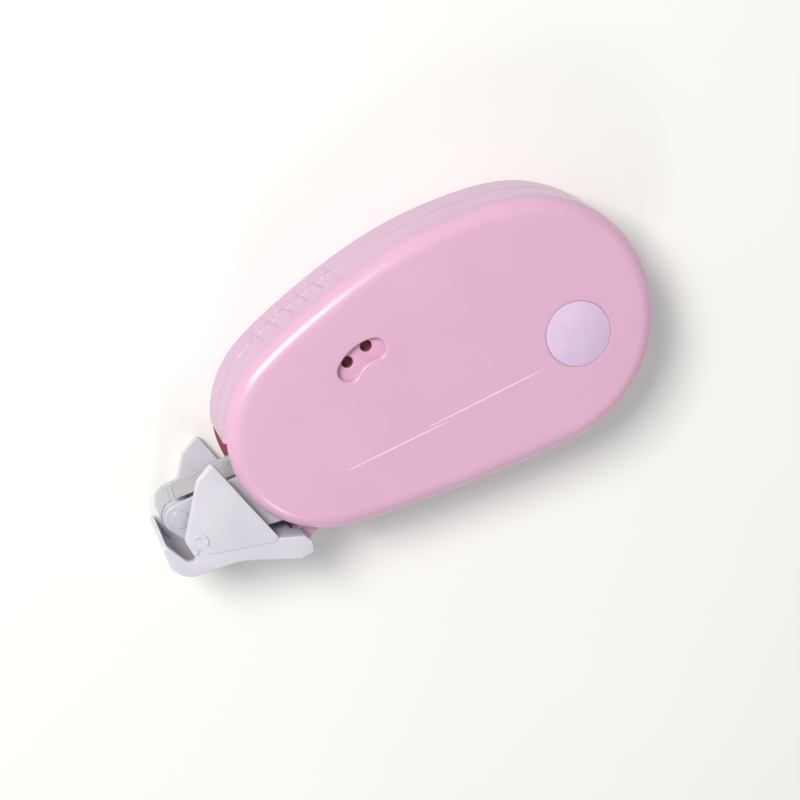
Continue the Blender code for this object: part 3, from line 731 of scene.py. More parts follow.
@dataclass(frozen=True)
class Finish:
    """A material: what it is made of, its colours and how its surface was made.

    Attributes:
        name: the material's name.
        shade: the darker of its two colours, as sRGB hex.
        tint: the lighter of its two colours.
        roughness: roughness of its surface.
        grain: size of its surface's unevenness, in millimetres.
        relief: depth of that unevenness, in millimetres.
        ior: index of refraction.
        metallic: 1 for a metal.
        transmission: share of the light that passes through.
        coat: weight of a clear gloss over it.
        subsurface: weight of the light that spreads inside it.
    """

    name: str
    shade: str
    tint: str
    roughness: float
    grain: float = 0.8
    relief: float = 0.003
    ior: float = 1.5
    metallic: float = 0.0
    transmission: float = 0.0
    coat: float = 0.0
    subsurface: float = 0.0

    def shader(self, made: bpy.types.Material) -> bpy.types.Node:
        """Put this finish's own plain numbers on the shader's sockets.

        Args:
            made: the material.

        Returns:
            The shader node.
        """
        made.use_nodes = True
        shader = made.node_tree.nodes["Principled BSDF"]
        numbers = {
            "Roughness": self.roughness, "IOR": self.ior, "Metallic": self.metallic,
            "Transmission Weight": self.transmission, "Coat Weight": self.coat, "Coat Roughness": 0.08,
            "Subsurface Weight": self.subsurface, "Subsurface Scale": 1.2 * MM,
            "Subsurface Radius": (1.0, 0.5, 0.7),
        }
        for name, value in numbers.items():
            shader.inputs[name].default_value = value
        return shader

    def pattern(self, tree: bpy.types.NodeTree) -> tuple[bpy.types.NodeSocket, bpy.types.NodeSocket]:
        """Return the colour's factor and the height: two noises over Object coordinates.

        A moulded surface keeps a faint waviness of its cooling, and its pigment lies a little
        unevenly, over about ten times the grain.

        Args:
            tree: the material's node tree.

        Returns:
            The sockets of the colour's factor and of the height.
        """
        place = node(tree, "ShaderNodeTexCoord").outputs["Object"]
        fine = node(tree, "ShaderNodeTexNoise", {
            "Vector": place, "Scale": 1 / (self.grain * MM), "Detail": 3.0})
        broad = node(tree, "ShaderNodeTexNoise", {
            "Vector": place, "Scale": 0.1 / (self.grain * MM), "Detail": 2.0})
        return broad.outputs["Fac"], fine.outputs["Fac"]

    def stops(self) -> list[tuple[float, str]]:
        """Return the (position, colour) stops that the pattern's factor runs over."""
        return [(0.3, self.shade), (0.7, self.tint)]

    def build(self) -> bpy.types.Material:
        """Make the material, or find it where another piece has made it already.

        Returns:
            The material.
        """
        made = bpy.data.materials.get(self.name)
        if made:
            return made
        made = bpy.data.materials.new(self.name)
        shader = self.shader(made)
        tree = made.node_tree
        factor, height = self.pattern(tree)
        colour = ramp(tree, factor, self.stops())
        bump = node(tree, "ShaderNodeBump", {
            "Height": height, "Strength": 1.0, "Distance": self.relief * MM})
        tree.links.new(colour, shader.inputs["Base Color"])
        tree.links.new(bump.outputs["Normal"], shader.inputs["Normal"])
        return made


@dataclass(frozen=True)
class WallShadedFinish(Finish):
    """A shell's moulding with painted shade on its walls: a darker lavender there, partly also on the
    recess's floor, with the face left pinker.

    Attributes:
        wall_shade_colour: painted shade of the walls, a darker lavender, as sRGB hex.
        wall_reach: distance from the middle plane where the painted shade starts to give way, in millimetres.
        face_reach: distance where the face's own colours have taken over.
    """

    # Painted shade: the walls get this darker lavender where less light falls on them.
    wall_shade_colour: str = "#C6A3C0"
    wall_reach: float = 5.2
    face_reach: float = 6.9

    def pattern(self, tree: bpy.types.NodeTree) -> tuple[bpy.types.NodeSocket, bpy.types.NodeSocket]:
        """Return the factor that places the painted wall shade, which is the distance from the middle plane
        plus a little noise, and the fine waviness.

        Args:
            tree: the material's node tree.

        Returns:
            The sockets of the colour's factor and of the height.
        """
        broad, fine = super().pattern(tree)
        place = node(tree, "ShaderNodeTexCoord").outputs["Object"]
        height = node(tree, "ShaderNodeSeparateXYZ", {"Vector": place}).outputs["Z"]
        offset = node(tree, "ShaderNodeMath", {0: height, 1: MID_Z * MM}, operation="SUBTRACT").outputs[0]
        reach = node(tree, "ShaderNodeMath", {0: offset}, operation="ABSOLUTE").outputs[0]
        near_face = node(tree, "ShaderNodeMapRange", {
            "Value": reach, "From Min": self.wall_reach * MM, "From Max": self.face_reach * MM,
            "To Min": 0.0, "To Max": 0.6}, interpolation_type="SMOOTHSTEP").outputs["Result"]
        mottle = node(tree, "ShaderNodeMath", {0: broad, 1: 0.3}, operation="MULTIPLY").outputs[0]
        return node(tree, "ShaderNodeMath", {0: near_face, 1: mottle}, operation="ADD").outputs[0], fine

    def stops(self) -> list[tuple[float, str]]:
        """Return the walls' painted shade first, then the face's two colours."""
        return [(0.1, self.wall_shade_colour), (0.65, self.shade), (0.85, self.tint)]


@dataclass(frozen=True)
class WoundFinish(Finish):
    """The side of a wound roll, where each turn's edge shows as a fine ring.

    Attributes:
        axis: x and y of the roll's axis, in millimetres.
        turn: width drawn for one ring; a real turn is 0.075 mm, too fine to show.
    """

    axis: tuple[float, float] = (0.0, 0.0)
    turn: float = 0.3

    def pattern(self, tree: bpy.types.NodeTree) -> tuple[bpy.types.NodeSocket, bpy.types.NodeSocket]:
        """Return rings: noise over the distance from the axis alone.

        Args:
            tree: the material's node tree.

        Returns:
            The sockets of the colour's factor and of the height.
        """
        place = node(tree, "ShaderNodeTexCoord").outputs["Object"]
        centred = node(tree, "ShaderNodeMapping", {
            "Vector": place, "Location": (-self.axis[0] * MM, -self.axis[1] * MM, 0.0),
            "Scale": (1.0, 1.0, 0.0)})
        radius = node(tree, "ShaderNodeVectorMath", {0: centred.outputs["Vector"]}, operation="LENGTH")
        rings = node(tree, "ShaderNodeTexNoise", {
            "W": radius.outputs["Value"], "Scale": 1 / (self.turn * MM), "Detail": 4.0},
            noise_dimensions="1D")
        return rings.outputs["Fac"], rings.outputs["Fac"]


@dataclass(frozen=True)
class DottedFilm(Finish):
    """Glue film: clear tape with a grid of round adhesive dots.

    Attributes:
        pitch: distance between the dots, in millimetres.
    """

    pitch: float = 0.8

    def pattern(self, tree: bpy.types.NodeTree) -> tuple[bpy.types.NodeSocket, bpy.types.NodeSocket]:
        """Return dots: the distance to the nearest cell centre along and across the tape.

        Args:
            tree: the material's node tree.

        Returns:
            The sockets of the colour's factor and of the height.
        """
        place = node(tree, "ShaderNodeAttribute", attribute_name="run").outputs["Vector"]
        cells = node(tree, "ShaderNodeTexVoronoi", {
            "Vector": place, "Scale": 1 / self.pitch, "Randomness": 0.0}, voronoi_dimensions="2D")
        dots = node(tree, "ShaderNodeMapRange", {
            "Value": cells.outputs["Distance"], "From Min": 0.42, "From Max": 0.28,
            "To Min": 0.0, "To Max": 1.0})
        return dots.outputs["Result"], dots.outputs["Result"]


@dataclass(frozen=True)
class DrawnWire(Finish):
    """Drawn steel wire, with fine lines along its length."""

    def pattern(self, tree: bpy.types.NodeTree) -> tuple[bpy.types.NodeSocket, bpy.types.NodeSocket]:
        """Return lines along Z: noise whose Z is drawn out forty times.

        Args:
            tree: the material's node tree.

        Returns:
            The sockets of the colour's factor and of the height.
        """
        place = node(tree, "ShaderNodeTexCoord").outputs["Object"]
        drawn = node(tree, "ShaderNodeMapping", {"Vector": place, "Scale": (1.0, 1.0, 0.025)})
        lines = node(tree, "ShaderNodeTexNoise", {
            "Vector": drawn.outputs["Vector"], "Scale": 1 / (self.grain * MM), "Detail": 4.0})
        return lines.outputs["Fac"], lines.outputs["Fac"]


# Moulded ABS, polished tool: a pastel pink with a wet gloss and a faint waviness, with painted shade in a
# darker lavender on its walls and on the recess's floor.
PINK_ABS = WallShadedFinish(
    "moulded_pink_abs", "#DCADC9", "#E0B5CE", 0.26, 1.1, 0.002, 1.52, coat=0.1, subsurface=0.12)
# The same moulding's inner faces, unpolished, in a deep rose: painted shade for the dim light inside the
# casing, its mouth and its holes.
INNER_ABS_PAINTED_SHADE = Finish("pink_abs_inside_painted_shade", "#96485A", "#A25264", 0.55, 0.6, 0.006, 1.52)
# Screen-printed lavender on a satin film inlay.
LAVENDER_PRINT = Finish("screen_printed_lavender", "#D8BEDC", "#DEC5E1", 0.38, 0.25, 0.002)
# Printed line of opaque pale pink ink.
PALE_INK = Finish("pale_pink_ink", "#F2CDE6", "#F6D6EC", 0.35, 0.2, 0.002)
# Moulded polypropylene: white with a cool cast, satin, slightly waxy.
WHITE_PP = Finish(
    "moulded_white_polypropylene", "#D2CFDA", "#D9D6E0", 0.32, 0.7, 0.003, 1.49, subsurface=0.2)
# Moulded acetal in ivory: dry satin, for the gear.
IVORY_POM = Finish("moulded_ivory_acetal", "#DCD6C4", "#E6E0D0", 0.42, 0.5, 0.003, 1.48)
# Moulded acetal in deep rose, for reels and rollers.
ROSE_POM = Finish("moulded_rose_acetal", "#A94A58", "#B65664", 0.4, 0.5, 0.003, 1.48)
# Moulded nitrile rubber: matte black with a fine grain.
BLACK_RUBBER = Finish("moulded_nitrile_rubber", "#1B1B1D", "#262628", 0.75, 0.3, 0.01)
# Moulded clear polystyrene: lets most light through, cool and a little milky.
CLEAR_PS = Finish("moulded_clear_polystyrene", "#EAE8F4", "#F4F2FB", 0.2, 0.9, 0.003, 1.59, transmission=0.45)
# Glue film on its carrier: translucent with round adhesive dots.
GLUE_FILM = DottedFilm("glue_film", "#E2E2EC", "#F0F1F7", 0.3, 0.8, 0.012, 1.5, transmission=0.55)
# Glassine release liner: smooth, slightly yellow paper.
LINER_PAPER = Finish("glassine_liner", "#DEDCE4", "#E8E6EC", 0.42, 0.35, 0.004, transmission=0.55)
# Sides of the wound film and of the wound liner: cut edges, with a ring for some of the turns.
WOUND_FILM = WoundFinish("wound_glue_film", "#C6CBD6", "#F0F2F6", 0.35, 0.3, 0.02, axis=SUPPLY_AXIS)
WOUND_LINER = WoundFinish("wound_liner", "#C8C6CC", "#E8E6EA", 0.5, 0.3, 0.02, axis=TAKEUP_AXIS)
# Drawn steel wire, cut to length: bright, with fine lines along it.
STEEL_WIRE = DrawnWire("drawn_steel_wire", "#9C9EA2", "#C4C6CA", 0.3, 0.06, 0.002, metallic=1.0)


# ---------------------------------------------------------------- pieces

def dress(name: str, mesh: bpy.types.Mesh, finishes: tuple[Finish, ...], body: str,
          nodes: tuple[str, ...]) -> None:
    """Make a mesh a finished piece: shade it, give it its material and let it ride on its body.

    Args:
        name: the piece's name.
        mesh: its mesh, in place.
        finishes: its materials, in the order of the mesh's tones.
        body: the body that it moves with.
        nodes: the CAD nodes that it stands for.
    """
    made = linked(name, mesh)
    tones = np.zeros(len(mesh.polygons), np.int32)
    mesh.polygons.foreach_get("material_index", tones)
    mesh.materials.clear()
    for finish in finishes:
        mesh.materials.append(finish.build())
    mesh.polygons.foreach_set("material_index", tones)
    mesh.shade_smooth()
    mesh.set_sharp_from_angle(angle=math.radians(32.0))
    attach(made, body)
    if nodes:
        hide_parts(*nodes)
    mesh.calc_loop_triangles()
    log.info("%-22s %-34s %7d triangles", name, finishes[0].name, len(mesh.loop_triangles))


@dataclass
class Casing:
    """Both halves of the casing, with the inlaid label and the printed line.

    Attributes:
        wall: thickness of the walls.
        fillet: radius of the outer edge.
        mouth: lower and upper height of the mouth at the front.
        seam: half of the gap between the halves.
        rib_first: x of the first rib.
        rib_pitch: distance between the ribs.
        rib_count: number of ribs.
        rib_height: how far a rib stands out.
        rib_half: half of a rib's width at its foot.
        rib_reach: half of a rib's length across the seam.
        rib_slant: how far a rib leans along the edge for each millimetre across it.
        label: centre of the round label.
        label_radius: its radius.
        label_depth: depth of its pocket.
        bean_x: x of the bean recess's middle.
        bean_drop: distance from the upper edge down to that middle.
        bend_radius: radius of the recess's centre line.
        bean_half: half of the recess's width.
        bean_angle: half of the angle that the centre line covers.
        bean_tilt: direction of the recess's middle.
        bean_floor: height of its floor.
        strap_out: how far the strap holes lie outside the centre line.
        strap_angle: angle from the recess's middle to each strap hole.
        strap_end: height of the strap holes' blind ends.
        post_top: height of the reels' and guides' posts.
        peg_top: height of the pegs.
        pegs: axes of the three pegs.
        meet: height at which a peg's shoulder meets its socket.
        socket: radius of a peg's shoulder and of its socket.
        lug_heights: far end of the far lug and near end of the near lug.
    """

    wall: float = 1.2
    fillet: float = 2.5
    mouth: tuple[float, float] = (-11.73, 4.67)
    seam: float = 0.04
    rib_first: float = -13.8
    rib_pitch: float = 2.5
    rib_count: int = 6
    rib_height: float = 0.4
    rib_half: float = 0.8
    rib_reach: float = 4.5
    rib_slant: float = 0.11
    label: tuple[float, float] = (24.9, -4.23)
    label_radius: float = 4.5
    label_depth: float = 0.4
    bean_x: float = -2.8
    bean_drop: float = 9.4
    bend_radius: float = 5.0
    bean_half: float = 1.45
    bean_angle: float = math.radians(27.0)
    bean_tilt: float = math.radians(104.0)
    bean_floor: float = 13.6
    strap_out: float = 0.45
    strap_angle: float = math.radians(17.3)
    strap_end: float = 12.0
    post_top: float = 13.0
    peg_top: float = 10.3
    pegs: tuple = ((-16.31, 8.31), (2.44, 13.06), (0.87, -8.9))
    meet: float = 7.45
    socket: float = 2.0
    lug_heights: tuple[float, float] = (4.4, 10.2)

    def bean_centre(self) -> np.ndarray:
        """Return the centre that the bean recess bends round."""
        middle = np.array([self.bean_x, OUTLINE.upper_edge(self.bean_x) - self.bean_drop])
        return polar(middle, self.bend_radius, self.bean_tilt + np.pi)

    def bean(self, half: float) -> np.ndarray:
        """Return the bean's outline: two arcs about its centre, joined by half circles.

        Args:
            half: half of the outline's width.

        Returns:
            Array of shape (n, 2), anticlockwise.
        """
        centre = self.bean_centre()
        first, last = self.bean_tilt - self.bean_angle, self.bean_tilt + self.bean_angle
        start, end = (polar(centre, self.bend_radius, angle) for angle in (first, last))
        return np.concatenate([
            arc(centre, self.bend_radius + half, first, last, 28),
            arc(end, half, last, last + np.pi, 20)[1:-1],
            arc(centre, self.bend_radius - half, last, first, 16),
            arc(start, half, first + np.pi, first + 2 * np.pi, 20)[1:-1],
        ])

    def strap_holes(self) -> list[np.ndarray]:
        """Return the strap holes' centres, which lie a little outside the bean's centre line.

        Returns:
            The two centres.
        """
        centre, radius = self.bean_centre(), self.bend_radius + self.strap_out
        turns = (self.strap_angle, -self.strap_angle)
        return [polar(centre, radius, self.bean_tilt + turn) for turn in turns]

    def rib_relief(self, place: np.ndarray, height: np.ndarray) -> np.ndarray:
        """Return how far the ribs stand out at points of the wall.

        Across a rib the relief is the cosine of the distance to the rib's slanted line, and
        near each end it falls off as a squared cosine.

        Args:
            place: x and y of the points, on the last axis.
            height: their heights.

        Returns:
            Array of relief, of the heights' shape.
        """
        across = height - MID_Z
        lines = self.rib_first + self.rib_pitch * np.arange(self.rib_count)
        offset = place[..., 0, None] - lines - self.rib_slant * across[..., None]
        ridge = np.cos(np.pi / 2 * np.clip(offset / self.rib_half, -1.0, 1.0)).max(-1)
        past = np.clip((np.abs(across) - self.rib_reach) / 1.1 + 1.0, 0.0, 1.0)
        return self.rib_height * ridge * np.cos(np.pi / 2 * past) ** 2 * (place[..., 1] > 5.0)

    def wall_angles(self, base: np.ndarray, base_inset: float, inset: float) -> np.ndarray:
        """Return the wall's angles at an inset, so that both ends lie flat on the mouth's edges.

        The base angles are shifted by the difference at each end, fading over 40 degrees.

        Args:
            base: the wall's angles at the base inset.
            base_inset: the inset that they were made for.
            inset: the inset that they are wanted for.

        Returns:
            Array of the base's shape.
        """
        fade = math.radians(40.0)
        shift = [OUTLINE.front_angle(y, inset) - OUTLINE.front_angle(y, base_inset) for y in self.mouth]
        near_start = np.clip(1.0 - (base - base[0]) / fade, 0.0, 1.0)
        near_end = np.clip(1.0 - (base[-1] - base) / fade, 0.0, 1.0)
        return base + shift[0] * near_start + shift[1] * near_end

    def lip(self, side: Side) -> list[tuple[float, float]]:
        """Return the (inset, height) points from the seam's edge to the inner wall.

        The far half has a tongue that closes the seam from inside, and the near half has a
        step that takes it.

        Args:
            side: which half; the far one's heights are mirrored, as in half().

        Returns:
            The points in order.
        """
        edge = MID_Z + self.seam
        start = [(0.04, edge + 0.06), (0.14, edge)]
        if side is Side.NEAR:
            return start + [(0.38, edge), (0.38, 8.1), (self.wall, 8.1)]
        return start + [(0.42, edge), (0.42, 6.64), (0.5, 6.56), (self.wall, 6.56)]

    def half(self, side: Side) -> Skin:
        """Return one half: face, fillet, wall, ribs, seam, inner wall and inner face.

        It is worked out as the near half, whose height runs up to its face. The far half is
        the same with every height taken from the thickness. The face's rows go round the whole
        outline and follow the fillet down to the inner face, and the wall's rows leave out the
        mouth. A row's inset on the fillet is its radius times (1 - sin t), and its height is the
        radius times cos t.

        Args:
            side: which half.

        Returns:
            The half's skin, with tone 0 outside and tone 1 inside, where the darker rose is painted shade.
        """
        skin = Skin()
        inner_face = THICKNESS - self.wall
        cut_turn = math.acos((inner_face - (THICKNESS - self.fillet)) / self.fillet)
        rim = self.fillet * (1 - math.sin(cut_turn))
        low, high = (OUTLINE.front_angle(y, rim) for y in self.mouth)
        fine = (self.rib_first - 2.0, self.rib_first + self.rib_pitch * self.rib_count)
        base = OUTLINE.spread(low, high + 2 * np.pi, 760, fine)
        gape = np.linspace(high, low, 82)[1:-1] + 2 * np.pi
        every = np.concatenate([base, gape])

        turn = np.linspace(0.0, cut_turn, 11)[:, None]
        inset = self.fillet * (1 - np.sin(turn))
        place = OUTLINE.points(np.broadcast_to(every, (len(turn), len(every))), inset)
        height = THICKNESS - self.fillet + self.fillet * np.cos(turn) + np.zeros(len(every))
        if side is Side.NEAR:
            height = height + crown(place) * (1 - turn / cut_turn) ** 0.5
        plate = lifted(place, height)

        below = np.linspace(cut_turn, np.pi / 2, 7)
        profile = [(self.fillet * (1 - math.sin(t)), THICKNESS - self.fillet * (1 - math.cos(t)))
                   for t in below]
        drop = np.linspace(THICKNESS - self.fillet, MID_Z + self.seam + 0.16, 26)[1:]
        outer = len(profile)
        profile += [(0.0, z) for z in drop]
        outer_end = len(profile)
        profile += self.lip(side) + [(self.wall, inner_face)]
        angles = np.stack([self.wall_angles(base, rim, step) for step, _ in profile])
        step, level = (np.array(column)[:, None] for column in zip(*profile))
        level = level + np.zeros(len(base))
        bare = OUTLINE.points(angles, 0.0)
        relief = self.rib_relief(bare, level if side is Side.NEAR else THICKNESS - level)
        relief[:outer - 1] = 0.0
        relief[outer_end:] = 0.0
        wall = lifted(OUTLINE.points(angles, step - relief), level)
        wall[0] = plate[-1, :len(base)]

        lip_start = outer_end + 3
        skin.grid(plate)
        skin.grid(wall[:lip_start], round_columns=False)
        skin.polygon(wall[:, 0])
        skin.polygon(wall[:, -1])
        # From here on the lip's inner side, the inner wall and the inner face get tone 1: painted shade in a
        # darker rose.
        skin.tone = 1
        skin.grid(wall[lip_start - 1:], round_columns=False)
        mouth_edge = np.concatenate([plate[-1, len(base) - 1:, :2], plate[-1, :1, :2]])
        inner_loop = np.concatenate([wall[-1, :, :2], mouth_edge])
        if side is Side.NEAR:
            self.near_faces(skin, plate[0], inner_loop, inner_face)
        else:
            self.posts(skin, inner_loop, inner_face)
            skin.tone = 0
            skin.flat([distinct(plate[0, :, :2])], THICKNESS)
            for i, places in enumerate(skin.places):
                skin.places[i] = places * (1, 1, -1) + (0, 0, THICKNESS)
        return skin

    def posts(self, skin: Skin, inner_loop: np.ndarray, floor: float) -> None:
        """Add the far half's inner face with its reel posts, roller pins and pegs.

        Args:
            skin: the half's skin, in the near half's heights.
            inner_loop: outline of the inner face.
            floor: height of the inner face.
        """
        tip, peg_tip, bevel = THICKNESS - self.post_top, THICKNESS - self.peg_top, 0.25
        stems = [(axis, [(2.3, floor), (1.8, floor - 0.5)], 1.8) for axis in (SUPPLY_AXIS, TAKEUP_AXIS)]
        stems += [(axis, [(1.1, floor), (0.9, floor - 0.2)], 0.9)
                  for axis in (FEED_GUIDE, RETURN_GUIDE, ANCHOR)]
        turned = [(axis, foot + [(radius, tip + bevel), (radius - bevel, tip), (0.0, tip)])
                  for axis, foot, radius in stems]
        shoulder = [(self.socket, floor), (self.socket, self.meet + 0.05), (self.socket - 0.1, self.meet)]
        peg = [(1.0, self.meet), (1.0, peg_tip + 0.4), (0.7, peg_tip), (0.0, peg_tip)]
        turned += [(axis, shoulder + peg) for axis in self.pegs]
        for axis, profile in turned:
            skin.turned(axis, profile)
        skin.flat([inner_loop] + [circle(axis, profile[0][0]) for axis, profile in turned], floor)

    def near_faces(self, skin: Skin, rim: np.ndarray, inner_loop: np.ndarray, inner_face: float) -> None:
        """Add the near half's crowned face, recess, label pocket, sockets and inner face.

        Args:
            skin: the half's skin.
            rim: points of the fillet's upper row.
            inner_loop: outline of the inner face.
            inner_face: height of the inner face.
        """
        skin.tone = 0
        self.crowned_face(skin, rim)
        self.recess(skin)
        self.pocket(skin)
        # Tone 1: the backing, the sockets and the inner face get painted shade in a darker rose.
        skin.tone = 1
        # A backing closes the recess from inside.
        backing, backing_low = self.bean(self.bean_half + 0.6), self.strap_end - 0.2
        skin.flat([backing], backing_low)
        skin.grid(np.stack([lifted(backing, backing_low), lifted(backing, inner_face)]))
        # Sockets: a collar over each reel's post and a deep one over each peg.
        collar = [(3.1, inner_face), (3.1, 12.0), (REEL_BORE, 12.0), (REEL_BORE, inner_face),
                  (0.0, inner_face)]
        deep = self.peg_top + 0.3
        sleeve = [(self.socket, inner_face), (self.socket, self.meet), (1.3, self.meet), (1.3, deep),
                  (0.0, deep)]
        studs = [(axis, collar) for axis in (SUPPLY_AXIS, TAKEUP_AXIS)]
        studs += [(axis, sleeve) for axis in self.pegs]
        for axis, profile in studs:
            skin.turned(axis, profile)
        feet = [circle(axis, profile[0][0]) for axis, profile in studs]
        skin.flat([inner_loop, backing] + feet, inner_face)

    def crowned_face(self, skin: Skin, rim: np.ndarray) -> None:
        """Add the near face between its rim, the recess and the label's pocket.

        Its inner points lie on a triangular lattice, with a ring of points round each opening
        that keeps the shading even there.

        Args:
            skin: the half's skin.
            rim: points of the fillet's upper row.
        """
        step = 1.1
        x, y = np.meshgrid(np.arange(-24.0, 38.0, step), np.arange(-18.5, 18.5, step * 0.866))
        x = x + step / 2 * (np.arange(x.shape[0])[:, None] % 2)
        inner = np.stack([x.ravel(), y.ravel()], -1)
        inner = inner[OUTLINE.inside(inner, self.fillet + 0.7)]
        inner = inner[np.hypot(*(inner - self.label).T) > self.label_radius + 0.8]
        away = np.hypot(*(inner[:, None] - self.bean(self.bean_half)[None]).transpose(2, 0, 1)).min(1)
        bean_mouth = self.bean(self.bean_half + 0.3)
        inner = inner[(away > 1.0) & ~within(inner, bean_mouth)]
        rings = [self.bean(self.bean_half + 0.5), circle(self.label, self.label_radius + 0.4, 96)]
        pocket_rim = circle(self.label, self.label_radius + 0.12, 96)
        points, triangles = filled([rim[:, :2], bean_mouth, pocket_rim], np.concatenate([inner] + rings))
        skin.add(lifted(points, THICKNESS + crown(points)), (triangles + skin.count).tolist())

    def recess(self, skin: Skin) -> None:
        """Add the bean recess's rounded wall and floor, and the two blind strap holes.

        Args:
            skin: the half's skin, left with its tone at 0.
        """
        rows = [(0.3, 0.0), (0.2, 0.015), (0.1, 0.06), (0.03, 0.14), (0.0, 0.26), (0.0, 0.7),
                (-0.02, 0.92), (-0.05, THICKNESS - self.bean_floor)]
        ring = [self.bean(self.bean_half + out) for out, _ in rows]
        fade = [max(0.0, 1 - down / 0.7) for _, down in rows]
        skin.grid(np.stack([lifted(loop, THICKNESS - down + keep * crown(loop))
                            for loop, (_, down), keep in zip(ring, rows, fade)]))
        mouth, throat, steps = 0.9, (0.8, self.bean_floor - 0.12), 40
        holes = self.strap_holes()
        # The floor lies deep enough that the shell's finish gives it part of the walls' painted shade, darker
        # in the recess.
        skin.flat([ring[-1]] + [circle(hole, mouth, steps) for hole in holes], self.bean_floor)
        for hole in holes:
            skin.turned(hole, [(mouth, self.bean_floor), (0.83, self.bean_floor - 0.04), throat], steps)
            # The throat and the blind end get tone 1: painted shade that makes the strap holes read dark.
            skin.tone = 1
            skin.turned(hole, [throat, (throat[0], self.strap_end), (0.0, self.strap_end)], steps)
            skin.tone = 0

    def pocket(self, skin: Skin) -> None:
        """Add the label's pocket: its rounded rim, which follows the crown, and its flat floor.

        Args:
            skin: the half's skin.
        """
        rows = [(0.07, 0.0, 1.0), (0.02, 0.02, 1.0), (0.0, 0.07, 1.0), (0.0, self.label_depth, 0.0)]
        loops = [circle(self.label, self.label_radius + 0.05 + out, 96) for out, _, _ in rows]
        skin.grid(np.stack([lifted(loop, THICKNESS - down + keep * crown(loop))
                            for loop, (_, down, keep) in zip(loops, rows)]))
        skin.flat([loops[-1]], THICKNESS - self.label_depth)

    def lug(self, low: float, high: float) -> Skin:
        """Return the hinge lug between two heights, with its bore for the pin.

        Args:
            low: height of its lower side.
            high: height of its upper side.

        Returns:
            The lug's skin.
        """
        root = ((-16.95, -11.94), 0.96)
        return slab([belt([(HINGE_AXIS, 1.25), root]), circle(HINGE_AXIS, 0.6, 32)], low, high, 0.12)

    def build(self) -> None:
        """Build both halves, the label and the printed line, and dress them."""
        far_end, near_end = self.lug_heights
        spans = {Side.NEAR: (MID_Z + self.seam, near_end), Side.FAR: (far_end, MID_Z - self.seam)}
        for side, span in spans.items():
            skin = self.half(side)
            skin.extend(self.lug(*span))
            name = f"{side.value}_shell"
            # The first finish has painted shade on the walls, and the second is the inner faces' painted
            # shade.
            finishes = (PINK_ABS, INNER_ABS_PAINTED_SHADE)
            dress(f"casing_{side.value}", skin.mesh(name), finishes, "casing", (name,))
        self.label_inlay()
        self.printed_line()

    def label_inlay(self) -> None:
        """Build the label: a turned disc with a rounded edge, its upper side lifted by the crown."""
        skin = Skin()
        low, top, radius = THICKNESS - 0.38, THICKNESS + 0.012, self.label_radius
        skin.turned(self.label, [
            (0.0, low), (radius, low), (radius, THICKNESS - 0.06), (radius - 0.02, THICKNESS - 0.02),
            (radius - 0.08, top), (0.0, top)], 96)
        places = skin.places[0]
        places[:, 2] += crown(places[:, :2]) * (places[:, 2] > THICKNESS - 0.1)
        mesh = skin.mesh("label_inlay")
        dress("label_inlay", mesh, (LAVENDER_PRINT,), "casing", ("label_disc",))

    def printed_line(self) -> None:
        """Build the plain printed line under the middle of the face: two tapering strokes.

        A stroke's width is its full width times (4 t (1 - t)) to the 0.35 along its length.
        """
        skin, width = Skin(), 0.2
        low, high = THICKNESS - 0.05, THICKNESS + 0.012
        for start, end in (((-10.9, -6.05), (4.2, -6.55)), ((1.4, -5.95), (18.8, -6.35))):
            t = np.linspace(0.0, 1.0, 80)[:, None]
            path = np.array(start) * (1 - t) + np.array(end) * t
            half = width / 2 * np.maximum(4 * t * (1 - t), 0.004) ** 0.35 * (0.0, 1.0)
            left, right = path + half, path - half
            edges = ((left, low), (left, high), (right, high), (right, low))
            rows = [lifted(edge, height + crown(edge)) for edge, height in edges]
            skin.grid(np.stack(rows), round_columns=False, round_rows=True)
            skin.polygon(np.stack([row[0] for row in rows]))
            skin.polygon(np.stack([row[-1] for row in rows]))
        dress("printed_line", skin.mesh("printed_line"), (PALE_INK,), "casing", ())


